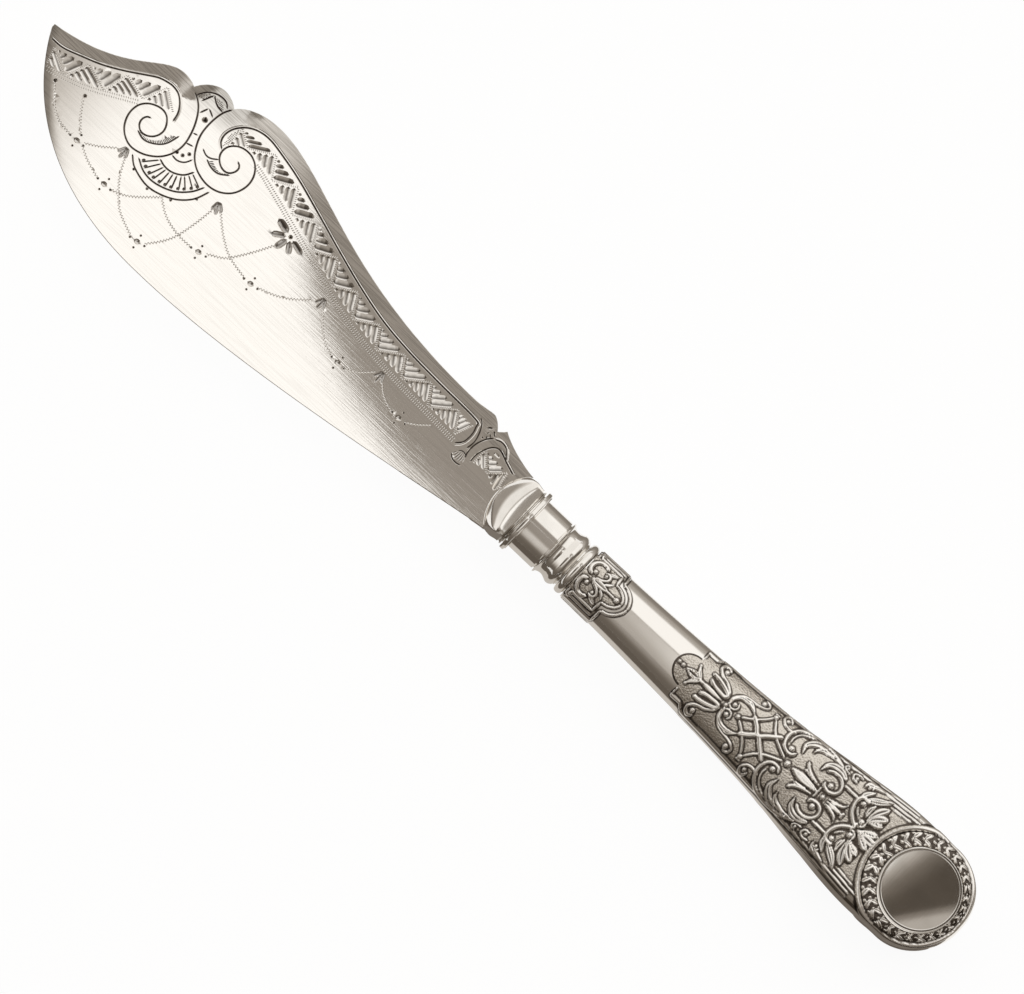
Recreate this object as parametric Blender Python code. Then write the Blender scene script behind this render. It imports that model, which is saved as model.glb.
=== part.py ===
"""Ice cream server: a flat blade with a scrolled back, a bolster and a hollow handle struck in two halves.

Metres, Z up. +X runs from the blade's tip to the handle's end, +Y to the blade's scrolled back and
+Z out of the blade's front face. The server lies on its back, on the plane Z = 0.
"""

import math

import bmesh
import bpy
import numpy as np

MM = 0.001

# Space left where two pieces are soldered or cemented together.
JOINT_GAP = 0.3 * MM

# Blade: lengths along it run from the tip, or back from its heel.
BLADE_LENGTH = 160.5 * MM
BLADE_THICKNESS = 1.5 * MM
EDGE_BEVEL = 2.0 * MM
EDGE_LAND = 0.5 * MM
BEVEL_RUN_OUT = 8.0 * MM
TIP_TOP = 8.75 * MM
TIP_CUT = 1.0 * MM
SCROLL_FROM_TIP, SCROLL_RISE = 32.15 * MM, 22.5 * MM
SCROLL_END_FROM_TIP, SCROLL_END_RISE = 35.95 * MM, 21.6 * MM
SHELL_FROM_TIP, SHELL_RISE = 42.45 * MM, 26.2 * MM
SHELL_END_FROM_TIP, SHELL_END_RISE = 47.15 * MM, 24.4 * MM
CREST_FROM_TIP, CREST_RISE = 58.75 * MM, 28.9 * MM
BELLY_FROM_TIP, BELLY_DROP = 59.75 * MM, 22.4 * MM
WAIST_FROM_HEEL, WAIST_RISE = 20.0 * MM, 13.3 * MM
TOOTH_FROM_HEEL, TOOTH_RISE = 13.2 * MM, 13.9 * MM
NOTCH_FROM_HEEL, NOTCH_RISE = 10.0 * MM, 11.3 * MM
CUSP_FROM_HEEL, CUSP_RISE = 8.2 * MM, 13.0 * MM
HEEL_BACK_RISE = 9.1 * MM
HEEL_EDGE_DROP = 8.9 * MM

# Curves of the outline: the slope and reach where each one leaves, then where it arrives.
TIP_CURVE = (0.14, 0.68, 0.0, 0.23)
SCROLL_CURVE = (0.0, 0.37, -0.6, 0.21)
SHELL_CURVE = (2.0, 0.18, 0.0, 0.42)
SHELL_END_CURVE = (0.0, 0.42, -0.9, 0.21)
CREST_CURVE = (1.3, 0.17, 0.0, 0.47)
WAIST_CURVE = (0.0, 0.21, 0.0, 0.57)
TOOTH_CURVE = (0.0, 0.4, 0.0, 0.3)
NOTCH_CURVE = (-0.3, 0.35, -1.5, 0.25)
CUSP_CURVE = (0.6, 0.3, 1.2, 0.3)
HEEL_CURVE = (-0.6, 0.25, -0.12, 0.35)
BELLY_CURVE = (-1.92, 0.276, 0.0, 0.107)
EDGE_CURVE = (0.0, 0.344, 0.1125, 0.092)

# Tongue at the blade's heel, in the bolster's mortise
TONGUE_WIDTH = 11.0 * MM
TONGUE_THICKNESS = 0.9 * MM

# Bolster
BOLSTER_LENGTH = 8.1 * MM
BOLSTER_HALF_WIDTH = 9.25 * MM
BOLSTER_FRONT_DEPTH = 2.4 * MM
BOLSTER_REAR_DEPTH = 15.0 * MM
BOLSTER_BOW = 3.4 * MM
BOLSTER_SQUARE = 2.6
BOLSTER_WEB = 0.7 * MM

# Flange plates behind the bolster
FRONT_PLATE_THICKNESS = 1.0 * MM
FRONT_PLATE_HALF_WIDTH = 8.75 * MM
FRONT_PLATE_HALF_DEPTH = 7.9 * MM
REAR_PLATE_THICKNESS = 1.25 * MM
REAR_PLATE_HALF_WIDTH = 9.3 * MM
REAR_PLATE_HALF_DEPTH = 8.2 * MM
PLATE_CHAMFER = 0.2 * MM

# Neck, ferrule and ring: turned round the long axis
NECK_LENGTH = 8.1 * MM
NECK_RADIUS = 7.6 * MM
FERRULE_LENGTH = 6.6 * MM
FERRULE_PROUD = 0.05 * MM
FERRULE_LIP = 0.8 * MM
FERRULE_COVE = 3.0 * MM
FERRULE_HOLLOW = 0.7 * MM
SPIGOT_LENGTH = 6.0 * MM
RING_LENGTH = 2.4 * MM
RING_PROUD = 0.05 * MM
RING_RISE = 0.72 * MM

# Tang
TANG_RADIUS = 2.5 * MM
TANG_END_RADIUS = 1.5 * MM
TANG_IN_BOLSTER = 1.8 * MM
TANG_IN_HANDLE = 62.0 * MM

# Handle: half widths and half depths at stations from its mouth or from its end
HANDLE_LENGTH = 129.4 * MM
SHELL_WALL = 0.7 * MM
MOUTH_RADIUS = 7.75 * MM
GRIP_FROM_MOUTH, GRIP_HALF_WIDTH, GRIP_HALF_DEPTH = 26.0 * MM, 8.3 * MM, 7.8 * MM
FLARE_FROM_END, FLARE_HALF_WIDTH = 59.0 * MM, 10.9 * MM
SWELL_FROM_END, SWELL_HALF_WIDTH = 24.0 * MM, 14.75 * MM
ROUNDEL_FROM_END, END_HALF_WIDTH, END_HALF_DEPTH = 13.8 * MM, 14.5 * MM, 7.2 * MM
GRIP_SQUARE = 2.0
FLARE_SQUARE = 2.4
END_SQUARE = 5.0

# Roundel and wreath on each face of the handle's end
ROUNDEL_THICKNESS = 0.7 * MM
WREATH_MARGIN = 0.8 * MM
WREATH_WIDTH = 2.1 * MM
WREATH_THICKNESS = 0.65 * MM
WREATH_EDGE = 0.4 * MM

# Fineness of the facets
AROUND = 36
HANDLE_STEPS = 16
END_STEPS = 10
SHELL_STEPS = 21
BOLSTER_STEPS = 9
HEEL_STEPS = 14
OUTLINE_STEP = 3.0 * MM

# Places along the long axis, which is the line Y = Z = 0 until the pieces are set down.
BOLSTER_X = BLADE_LENGTH + JOINT_GAP
FRONT_PLATE_X = BOLSTER_X + BOLSTER_LENGTH + JOINT_GAP
REAR_PLATE_X = FRONT_PLATE_X + FRONT_PLATE_THICKNESS + JOINT_GAP
NECK_X = REAR_PLATE_X + REAR_PLATE_THICKNESS + JOINT_GAP
FERRULE_X = NECK_X + NECK_LENGTH + JOINT_GAP
RING_X = FERRULE_X + FERRULE_LENGTH + JOINT_GAP
MOUTH_X = RING_X + RING_LENGTH + JOINT_GAP
END_X = MOUTH_X + HANDLE_LENGTH
ROUNDEL_X = END_X - ROUNDEL_FROM_END

# Sizes that follow from the piece each one fits
TANG_BORE = TANG_RADIUS + JOINT_GAP
TONGUE_LENGTH = BOLSTER_LENGTH - TANG_IN_BOLSTER - BOLSTER_WEB - 2 * JOINT_GAP
SPIGOT_RADIUS = MOUTH_RADIUS - SHELL_WALL - JOINT_GAP
FERRULE_RADIUS = MOUTH_RADIUS + FERRULE_PROUD
RING_RADIUS = MOUTH_RADIUS + RING_PROUD
WREATH_OUTER_RADIUS = min(ROUNDEL_FROM_END, END_HALF_WIDTH) - WREATH_MARGIN
WREATH_INNER_RADIUS = WREATH_OUTER_RADIUS - WREATH_WIDTH
ROUNDEL_RADIUS = WREATH_INNER_RADIUS - JOINT_GAP

ROUNDEL_FACE = END_HALF_DEPTH + JOINT_GAP + ROUNDEL_THICKNESS
REST = max(ROUNDEL_FACE, REAR_PLATE_HALF_DEPTH, FERRULE_RADIUS, RING_RADIUS)
TOP_Y = max(CREST_RISE, SWELL_HALF_WIDTH, REAR_PLATE_HALF_WIDTH)
LOW_Y = max(BELLY_DROP, SWELL_HALF_WIDTH, REAR_PLATE_HALF_WIDTH)
SET_DOWN = np.array([-END_X / 2, (LOW_Y - TOP_Y) / 2, REST])


def clear_scene():
    for obj in list(bpy.data.objects):
        bpy.data.objects.remove(obj, do_unlink=True)


def finish(name, colour, metallic, roughness):
    """A Principled material."""
    material = bpy.data.materials.new(name)
    material.use_nodes = True
    shader = material.node_tree.nodes["Principled BSDF"]
    shader.inputs["Base Color"].default_value = (*colour, 1.0)
    shader.inputs["Metallic"].default_value = metallic
    shader.inputs["Roughness"].default_value = roughness
    return material


def silver(name, roughness=0.25):
    return finish(name, (0.82, 0.80, 0.76), 1.0, roughness)


def add_piece(name, bm, material=None):
    """Closes up the bmesh, turns its faces outward, sets it down and links it as one object."""
    bmesh.ops.remove_doubles(bm, verts=bm.verts, dist=1e-7)
    bmesh.ops.dissolve_degenerate(bm, edges=bm.edges, dist=1e-7)
    bmesh.ops.recalc_face_normals(bm, faces=bm.faces)
    bmesh.ops.translate(bm, verts=bm.verts, vec=SET_DOWN)
    mesh = bpy.data.meshes.new(name)
    bm.to_mesh(mesh)
    bm.free()
    obj = bpy.data.objects.new(name, mesh)
    bpy.context.scene.collection.objects.link(obj)
    if material is None:
        obj.hide_render = True
        obj.display_type = "WIRE"
    else:
        mesh.materials.append(material)
    return obj


def combine(obj, tool, operation):
    """Adds an exact boolean of a hidden tool."""
    modifier = obj.modifiers.new(tool.name, "BOOLEAN")
    modifier.operation = operation
    modifier.solver = "EXACT"
    modifier.object = tool


def box(name, low, high):
    """A hidden box between two corners, for a boolean."""
    bm = bmesh.new()
    bmesh.ops.create_cube(bm, size=1.0)
    low, high = np.array(low), np.array(high)
    for vert in bm.verts:
        vert.co = (low + high) / 2 + np.array(vert.co) * (high - low)
    return add_piece(name, bm)


def turned(profile, closed):
    """A profile of (x, radius) points spun once round the long axis."""
    bm = bmesh.new()
    verts = [bm.verts.new((x, 0.0, r)) for x, r in profile]
    pairs = list(zip(verts, verts[1:]))
    if closed:
        pairs.append((verts[-1], verts[0]))
    edges = [bm.edges.new(pair) for pair in pairs]
    bmesh.ops.spin(
        bm, geom=verts + edges, cent=(0, 0, 0), axis=(1, 0, 0), angle=math.tau, steps=AROUND, use_merge=True
    )
    return bm


def skinned(loops, close_rows=False, caps=""):
    """Quads between neighbouring loops of points. caps names the ends to fill: "first", "last".

    A cap joins each point of the loop's first half to the one facing it in the second half.
    """
    rows, size, _ = loops.shape
    bm = bmesh.new()
    verts = [[bm.verts.new(point) for point in loop] for loop in loops]
    last = rows if close_rows else rows - 1
    for i in range(last):
        here, there = verts[i], verts[(i + 1) % rows]
        for j in range(size):
            k = (j + 1) % size
            bm.faces.new((here[j], here[k], there[k], there[j]))
    for row, word in ((verts[0], "first"), (verts[-1], "last")):
        if word in caps:
            for j in range(size // 2 - 1):
                bm.faces.new((row[j], row[j + 1], row[size - 2 - j], row[size - 1 - j]))
    return bm


def smooth_through(stations, values, x):
    """A smooth curve through a few stations: cubic between them, level at both ends."""
    stations, values = np.array(stations), np.array(values)
    slopes = np.gradient(values, stations)
    slopes[0] = slopes[-1] = 0.0
    i = np.clip(np.searchsorted(stations, x) - 1, 0, len(stations) - 2)
    span = stations[i + 1] - stations[i]
    t = np.clip((x - stations[i]) / span, 0.0, 1.0)
    rise = values[i] * (1 + 2 * t) * (1 - t) ** 2 + values[i + 1] * t * t * (3 - 2 * t)
    return rise + span * t * (1 - t) * (slopes[i] * (1 - t) - slopes[i + 1] * t)


def bend(start, end, curve):
    """Points of a cubic curve from start up to end. Each control point lies a share of the span away."""
    start, end = np.array(start), np.array(end)
    slope, reach, end_slope, end_reach = curve
    span = end[0] - start[0]
    first = start + reach * span * np.array([1.0, slope])
    second = end - end_reach * span * np.array([1.0, end_slope])
    count = max(4, round(float(np.linalg.norm(end - start)) / OUTLINE_STEP))
    t = np.linspace(0.0, 1.0, count, endpoint=False)[:, None]
    return (1 - t) ** 3 * start + 3 * (1 - t) ** 2 * t * first + 3 * (1 - t) * t * t * second + t**3 * end


def bow(y):
    """How far the bolster's front lies behind its foremost point, at this height: a round arc."""
    radius = (BOLSTER_HALF_WIDTH**2 + BOLSTER_BOW**2) / (2 * BOLSTER_BOW)
    return radius - np.sqrt(radius**2 - np.square(y))


def blade_outline():
    """The blade's outline: along the back from tip to heel, down the heel, and back along the edge."""
    heel = BLADE_LENGTH
    tip_top = (0.0, TIP_TOP)
    tip_low = (0.0, TIP_TOP - TIP_CUT)
    scroll = (SCROLL_FROM_TIP, SCROLL_RISE)
    scroll_end = (SCROLL_END_FROM_TIP, SCROLL_END_RISE)
    shell = (SHELL_FROM_TIP, SHELL_RISE)
    shell_end = (SHELL_END_FROM_TIP, SHELL_END_RISE)
    crest = (CREST_FROM_TIP, CREST_RISE)
    waist = (heel - WAIST_FROM_HEEL, WAIST_RISE)
    tooth = (heel - TOOTH_FROM_HEEL, TOOTH_RISE)
    notch = (heel - NOTCH_FROM_HEEL, NOTCH_RISE)
    cusp = (heel - CUSP_FROM_HEEL, CUSP_RISE)
    heel_back = (heel + bow(HEEL_BACK_RISE), HEEL_BACK_RISE)
    heel_edge = (heel + bow(HEEL_EDGE_DROP), -HEEL_EDGE_DROP)
    belly = (BELLY_FROM_TIP, -BELLY_DROP)
    back = [
        bend(tip_top, scroll, TIP_CURVE),
        bend(scroll, scroll_end, SCROLL_CURVE),
        bend(scroll_end, shell, SHELL_CURVE),
        bend(shell, shell_end, SHELL_END_CURVE),
        bend(shell_end, crest, CREST_CURVE),
        bend(crest, waist, WAIST_CURVE),
        bend(waist, tooth, TOOTH_CURVE),
        bend(tooth, notch, NOTCH_CURVE),
        bend(notch, cusp, CUSP_CURVE),
        bend(cusp, heel_back, HEEL_CURVE),
    ]
    heel_y = np.linspace(HEEL_BACK_RISE, -HEEL_EDGE_DROP, HEEL_STEPS)
    heel_line = np.column_stack([heel + bow(heel_y), heel_y])
    edge = [
        bend(tip_low, belly, BELLY_CURVE),
        bend(belly, heel_edge, EDGE_CURVE),
    ]
    back = np.concatenate(back)
    edge = np.concatenate(edge)[::-1]
    return back, heel_line, edge


def build_blade():
    back, heel_line, edge = blade_outline()
    outline = np.concatenate([back, heel_line, edge])
    along = np.gradient(edge, axis=0)
    along /= np.linalg.norm(along, axis=1)[:, None]
    inward = np.column_stack([along[:, 1], -along[:, 0]])
    # The bevel runs out at the tip and at the heel.
    from_tip, from_heel = edge[:, :1], BLADE_LENGTH - edge[:, :1]
    fade = np.clip(np.minimum(from_tip, from_heel) / BEVEL_RUN_OUT, 0.0, 1.0)
    under = np.concatenate([back, heel_line, edge + inward * EDGE_BEVEL * fade])
    half = BLADE_THICKNESS / 2
    plain_z = np.full(len(back) + len(heel_line), -half)
    land_z = np.concatenate([plain_z, np.full(len(edge), half - EDGE_LAND)])
    front = np.column_stack([outline, np.full(len(outline), half)])
    land = np.column_stack([outline, land_z])
    rear = np.column_stack([under, np.full(len(outline), -half)])
    bm = bmesh.new()
    top = [bm.verts.new(point) for point in front]
    middle = [bm.verts.new(point) for point in land]
    low = [bm.verts.new(point) for point in rear]
    for upper, lower in ((top, middle), (middle, low)):
        for j in range(len(upper)):
            k = (j + 1) % len(upper)
            bm.faces.new((upper[j], upper[k], lower[k], lower[j]))
    bm.faces.new(top)
    bm.faces.new(low)
    blade = add_piece("blade", bm, silver("blade_silver"))
    tongue = box(
        "blade_tongue",
        (BLADE_LENGTH - TONGUE_LENGTH, -TONGUE_WIDTH / 2, -TONGUE_THICKNESS / 2),
        (BOLSTER_X + TONGUE_LENGTH, TONGUE_WIDTH / 2, TONGUE_THICKNESS / 2),
    )
    combine(blade, tongue, "UNION")


def oval(angles, half_width, half_depth, square):
    """A closed superellipse in Y and Z. square 2 is an ellipse, and more is squarer."""
    c, s = np.cos(angles), np.sin(angles)
    y = half_width * np.sign(c) * np.abs(c) ** (2 / square)
    z = half_depth * np.sign(s) * np.abs(s) ** (2 / square)
    return y, z


def build_bolster():
    # The loop starts a half step off the Y axis, so that its points pair up above and below it.
    angles = (np.arange(AROUND) + 0.5) * math.tau / AROUND
    loops = []
    for u in np.linspace(0.0, 1.0, BOLSTER_STEPS):
        rise = math.sqrt(1 - (1 - u) ** 2)
        depth = BOLSTER_FRONT_DEPTH + (BOLSTER_REAR_DEPTH - BOLSTER_FRONT_DEPTH) * rise
        y, z = oval(angles, BOLSTER_HALF_WIDTH, depth / 2, BOLSTER_SQUARE)
        front = BOLSTER_X + bow(y)
        loops.append(np.column_stack([front + u * (BOLSTER_X + BOLSTER_LENGTH - front), y, z]))
    bolster = add_piece("bolster", skinned(np.array(loops), caps="first last"), silver("bolster_silver"))
    half_slot_y = TONGUE_WIDTH / 2 + JOINT_GAP
    half_slot_z = TONGUE_THICKNESS / 2 + JOINT_GAP
    mortise = box(
        "bolster_mortise",
        (BOLSTER_X - TONGUE_LENGTH, -half_slot_y, -half_slot_z),
        (BOLSTER_X + TONGUE_LENGTH + JOINT_GAP, half_slot_y, half_slot_z),
    )
    rear = BOLSTER_X + BOLSTER_LENGTH
    socket = turned(
        [
            (rear - TANG_IN_BOLSTER - JOINT_GAP, 0.0),
            (rear - TANG_IN_BOLSTER - JOINT_GAP, TANG_BORE),
            (rear + TANG_RADIUS, TANG_BORE),
            (rear + TANG_RADIUS, 0.0),
        ],
        closed=False,
    )
    combine(bolster, mortise, "DIFFERENCE")
    combine(bolster, add_piece("bolster_socket", socket), "DIFFERENCE")


def build_plate(name, x, thickness, half_width, half_depth):
    """An oval plate with rounded edges and a round hole for the tang."""
    angles = np.arange(AROUND) * math.tau / AROUND
    section = [
        (x, TANG_BORE, TANG_BORE),
        (x, half_width - PLATE_CHAMFER, half_depth - PLATE_CHAMFER),
        (x + PLATE_CHAMFER, half_width, half_depth),
        (x + thickness - PLATE_CHAMFER, half_width, half_depth),
        (x + thickness, half_width - PLATE_CHAMFER, half_depth - PLATE_CHAMFER),
        (x + thickness, TANG_BORE, TANG_BORE),
    ]
    loops = []
    for place, width, depth in section:
        y, z = oval(angles, width, depth, 2.0)
        loops.append(np.column_stack([np.full(AROUND, place), y, z]))
    add_piece(name, skinned(np.array(loops), close_rows=True), silver(name + "_silver"))


def build_neck():
    profile = [
        (NECK_X, TANG_BORE),
        (NECK_X, NECK_RADIUS),
        (NECK_X + NECK_LENGTH, NECK_RADIUS),
        (NECK_X + NECK_LENGTH, TANG_BORE),
    ]
    add_piece("neck_sleeve", turned(profile, closed=True), silver("neck_silver", 0.12))


def build_ferrule():
    """Lip, hollow and swelling on the outside, and a spigot that enters the handle."""
    t = np.linspace(0.0, 1.0, 6)
    cove = np.column_stack(
        [
            FERRULE_X + FERRULE_LIP + t * FERRULE_COVE,
            FERRULE_RADIUS - FERRULE_HOLLOW * np.sin(math.pi * t),
        ]
    )
    swell_x = FERRULE_X + FERRULE_LIP + FERRULE_COVE
    swell_length = FERRULE_LENGTH - FERRULE_LIP - FERRULE_COVE
    a = np.linspace(0.25, 1.0, 5) * math.pi
    swell = np.column_stack(
        [
            swell_x + swell_length * (1 - np.cos(a)) / 2,
            FERRULE_RADIUS - FERRULE_HOLLOW * (1 - np.sin(a)),
        ]
    )
    profile = [
        (FERRULE_X, TANG_BORE),
        (FERRULE_X, FERRULE_RADIUS),
        *cove,
        *swell,
        (FERRULE_X + FERRULE_LENGTH, SPIGOT_RADIUS),
        (MOUTH_X + SPIGOT_LENGTH, SPIGOT_RADIUS),
        (MOUTH_X + SPIGOT_LENGTH, TANG_BORE),
    ]
    add_piece("ferrule", turned(profile, closed=True), silver("ferrule_silver", 0.15))


def build_ring():
    a = np.linspace(0.0, math.pi, 7)
    half = RING_LENGTH / 2
    outside = np.column_stack([RING_X + half * (1 - np.cos(a)), RING_RADIUS - RING_RISE * (1 - np.sin(a))])
    profile = [
        (RING_X, SPIGOT_RADIUS + JOINT_GAP),
        *outside,
        (RING_X + RING_LENGTH, SPIGOT_RADIUS + JOINT_GAP),
    ]
    add_piece("ferrule_ring", turned(profile, closed=True), silver("ring_silver", 0.15))


def tang_profile(gap):
    """The tang, or with a gap the space it needs."""
    start = BOLSTER_X + BOLSTER_LENGTH - TANG_IN_BOLSTER - gap
    taper = MOUTH_X + SPIGOT_LENGTH
    end = MOUTH_X + TANG_IN_HANDLE + gap
    return [
        (start, 0.0),
        (start, TANG_RADIUS + gap),
        (taper, TANG_RADIUS + gap),
        (end, TANG_END_RADIUS + gap),
        (end, 0.0),
    ]


def half_width(x, inset):
    """Half the handle's width at x, drawn in by inset. It rounds off to nothing at the end."""
    stations = [
        MOUTH_X,
        MOUTH_X + GRIP_FROM_MOUTH,
        END_X - FLARE_FROM_END,
        END_X - SWELL_FROM_END,
        ROUNDEL_X,
    ]
    values = [MOUTH_RADIUS, GRIP_HALF_WIDTH, FLARE_HALF_WIDTH, SWELL_HALF_WIDTH, END_HALF_WIDTH]
    return (smooth_through(stations, values, x) - inset) * end_round(x, inset, 2.0)


def half_depth(x, inset):
    """Half the handle's depth at x, drawn in by inset."""
    stations = [MOUTH_X, MOUTH_X + GRIP_FROM_MOUTH, ROUNDEL_X]
    values = [MOUTH_RADIUS, GRIP_HALF_DEPTH, END_HALF_DEPTH]
    return (smooth_through(stations, values, x) - inset) * end_round(x, inset, END_SQUARE)


def end_round(x, inset, square):
    """1 up to the roundel's middle, then down to 0 at the handle's end."""
    share = np.clip((x - ROUNDEL_X) / (ROUNDEL_FROM_END - inset), 0.0, 1.0)
    return (1 - share**square) ** (1 / square)


def squareness(x):
    """How square the handle's section is: round at the mouth, flat-topped at the end."""
    stations = [MOUTH_X, MOUTH_X + GRIP_FROM_MOUTH, END_X - FLARE_FROM_END, ROUNDEL_X]
    return smooth_through(stations, [2.0, GRIP_SQUARE, FLARE_SQUARE, END_SQUARE], x)


def handle_top(x, y):
    """Height of the handle's outer surface above the seam."""
    square = squareness(x)
    share = np.clip(np.abs(y) / np.maximum(half_width(x, 0.0), 1e-9), 0.0, 1.0)
    return half_depth(x, 0.0) * (1 - share**square) ** (1 / square)


def handle_stations(start, inset):
    """Places along the handle, closer together round its end."""
    shaft = np.linspace(start, ROUNDEL_X, HANDLE_STEPS, endpoint=False)
    turn = np.linspace(0.0, math.pi / 2, END_STEPS)
    return np.concatenate([shaft, ROUNDEL_X + (ROUNDEL_FROM_END - inset) * np.sin(turn)])


def handle_arc(x, inset, angles, seam):
    """One section of the handle over these angles, starting and ending at height seam."""
    y, z = oval(angles, half_width(x, inset), half_depth(x, inset), squareness(x))
    return np.column_stack([np.full(len(angles), x), y, np.maximum(z, seam)])


def build_shell(name, side):
    """One struck half of the handle. side is 1 for the front and -1 for the back."""
    angles = np.linspace(0.0, math.pi, SHELL_STEPS)
    outer_x = handle_stations(MOUTH_X, 0.0)
    inner_x = handle_stations(MOUTH_X, SHELL_WALL)
    loops = []
    for outside, inside in zip(outer_x, inner_x):
        outer = handle_arc(outside, 0.0, angles, JOINT_GAP / 2)
        inner = handle_arc(inside, SHELL_WALL, angles, JOINT_GAP / 2)
        loops.append(np.concatenate([outer, inner[::-1]]))
    loops = np.array(loops) * (1, 1, side)
    add_piece(name, skinned(loops, caps="first"), silver(name + "_silver"))


def build_filling():
    inset = SHELL_WALL + JOINT_GAP
    angles = (np.arange(AROUND) + 0.5) * math.tau / AROUND
    start = MOUTH_X + SPIGOT_LENGTH + JOINT_GAP
    loops = []
    for x in handle_stations(start, inset):
        y, z = oval(angles, half_width(x, inset), half_depth(x, inset), squareness(x))
        loops.append(np.column_stack([np.full(AROUND, x), y, z]))
    pitch = finish("pitch", (0.06, 0.045, 0.03), 0.0, 0.7)
    filling = add_piece("pitch_filling", skinned(np.array(loops), caps="first"), pitch)
    bore = add_piece("filling_bore", turned(tang_profile(JOINT_GAP), closed=False))
    combine(filling, bore, "DIFFERENCE")


def build_roundel(name, side):
    """A disc whose under side follows the handle and whose outer face is flat."""
    angles = (np.arange(AROUND) + 0.5) * math.tau / AROUND
    loops = []
    for share in (0.5, 0.8, 1.0):
        x = ROUNDEL_X + share * ROUNDEL_RADIUS * np.cos(angles)
        y = share * ROUNDEL_RADIUS * np.sin(angles)
        loops.append(np.column_stack([x, y, handle_top(x, y) + JOINT_GAP]))
    loops.append(np.column_stack([x, y, np.full(AROUND, ROUNDEL_FACE)]))
    loops = np.array(loops) * (1, 1, side)
    add_piece(name, skinned(loops, caps="first last"), silver(name + "_silver", 0.08))


def build_wreath(name, side):
    """A ring that lies on the handle around the roundel, thinner at its outer edge."""
    angles = np.arange(AROUND) * math.tau / AROUND
    c, s = np.cos(angles), np.sin(angles)
    foot = [(0.0, 0.0), (0.5, 0.0), (1.0, 0.0)]
    section = foot + [(1.0, WREATH_EDGE), (0.5, WREATH_THICKNESS), (0.0, WREATH_EDGE)]
    loops = []
    for share, height in section:
        radius = WREATH_INNER_RADIUS + share * (WREATH_OUTER_RADIUS - WREATH_INNER_RADIUS)
        x, y = ROUNDEL_X + radius * c, radius * s
        loops.append(np.column_stack([x, y, handle_top(x, y) + JOINT_GAP + height]))
    loops = np.array(loops) * (1, 1, side)
    add_piece(name, skinned(loops, close_rows=True), silver(name + "_silver"))


clear_scene()
build_blade()
build_bolster()
build_plate(
    "flange_front_plate",
    FRONT_PLATE_X,
    FRONT_PLATE_THICKNESS,
    FRONT_PLATE_HALF_WIDTH,
    FRONT_PLATE_HALF_DEPTH,
)
build_plate(
    "flange_rear_plate",
    REAR_PLATE_X,
    REAR_PLATE_THICKNESS,
    REAR_PLATE_HALF_WIDTH,
    REAR_PLATE_HALF_DEPTH,
)
build_neck()
build_ferrule()
build_ring()
add_piece("tang", turned(tang_profile(0.0), closed=False), finish("tang_steel", (0.45, 0.45, 0.46), 1.0, 0.4))
build_shell("handle_front_shell", 1)
build_shell("handle_back_shell", -1)
build_filling()
build_roundel("front_roundel", 1)
build_roundel("back_roundel", -1)
build_wreath("front_wreath", 1)
build_wreath("back_wreath", -1)
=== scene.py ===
# %% [markdown]
# # The looks of a silver ice cream server
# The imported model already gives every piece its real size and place. This lesson makes the fine
# surfaces: the engraved blade, the turned neck, the die-struck handle and the roundels, each as a
# formula worked out on whole arrays, and then the finish of the silver and a soft studio.

import math

import bmesh
import bpy
import numpy as np
from mathutils import Matrix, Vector
from mathutils.geometry import delaunay_2d_cdt


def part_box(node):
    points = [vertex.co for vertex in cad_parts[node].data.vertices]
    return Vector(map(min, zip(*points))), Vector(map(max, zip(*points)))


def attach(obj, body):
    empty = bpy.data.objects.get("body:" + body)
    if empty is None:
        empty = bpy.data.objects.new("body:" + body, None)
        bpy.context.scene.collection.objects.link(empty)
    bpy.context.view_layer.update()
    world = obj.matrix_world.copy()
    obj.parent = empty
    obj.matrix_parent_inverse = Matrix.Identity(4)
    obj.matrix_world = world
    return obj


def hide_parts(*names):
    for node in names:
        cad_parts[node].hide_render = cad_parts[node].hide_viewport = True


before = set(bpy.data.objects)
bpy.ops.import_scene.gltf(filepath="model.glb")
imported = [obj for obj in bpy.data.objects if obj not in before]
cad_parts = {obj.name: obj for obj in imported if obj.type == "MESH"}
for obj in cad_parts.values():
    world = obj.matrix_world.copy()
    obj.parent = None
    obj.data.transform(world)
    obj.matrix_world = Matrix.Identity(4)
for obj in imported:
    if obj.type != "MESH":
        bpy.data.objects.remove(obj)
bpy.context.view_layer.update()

# %% [markdown]
# ## A drawing to work from
# An engraver works from a drawing. Ornament is laid out here on one too, in units of a quarter of a
# millimetre: the first number runs along the server, from the tip to the handle's end, and the second
# one across it, towards the scrolled back. Its marks are tied to the frame's own neck and handle.

# %% Places from the frame, and the drawing's scale
MM = 0.001
UNIT = 0.25 * MM
MOUTH_MARK, AXIS_MARK = 17.2, -2.0


def corners(node):
    """The lowest and highest corner of a CAD node."""
    low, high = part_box(node)
    return np.array(low), np.array(high)


AXIS_Y, AXIS_Z = np.mean(corners("neck_sleeve"), axis=0)[1:]
MOUTH_X = corners("handle_front_shell")[0][0]
END_X = corners("handle_front_shell")[1][0]
TIP_X = corners("blade")[0][0]
BACK_Z, FRONT_Z = corners("blade")[0][2], corners("blade")[1][2]


def on_plan(points):
    """Drawing units to metres: each point's way from the drawn mouth and axis, scaled."""
    return (np.asarray(points, float) - (MOUTH_MARK, AXIS_MARK)) * UNIT + (MOUTH_X, AXIS_Y)


def on_drawing(points):
    """Metres to drawing units, the other way round."""
    return (np.asarray(points, float) - (MOUTH_X, AXIS_Y)) / UNIT + (MOUTH_MARK, AXIS_MARK)


print("axis at y, z", AXIS_Y, AXIS_Z, "mouth at", MOUTH_X)

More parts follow.
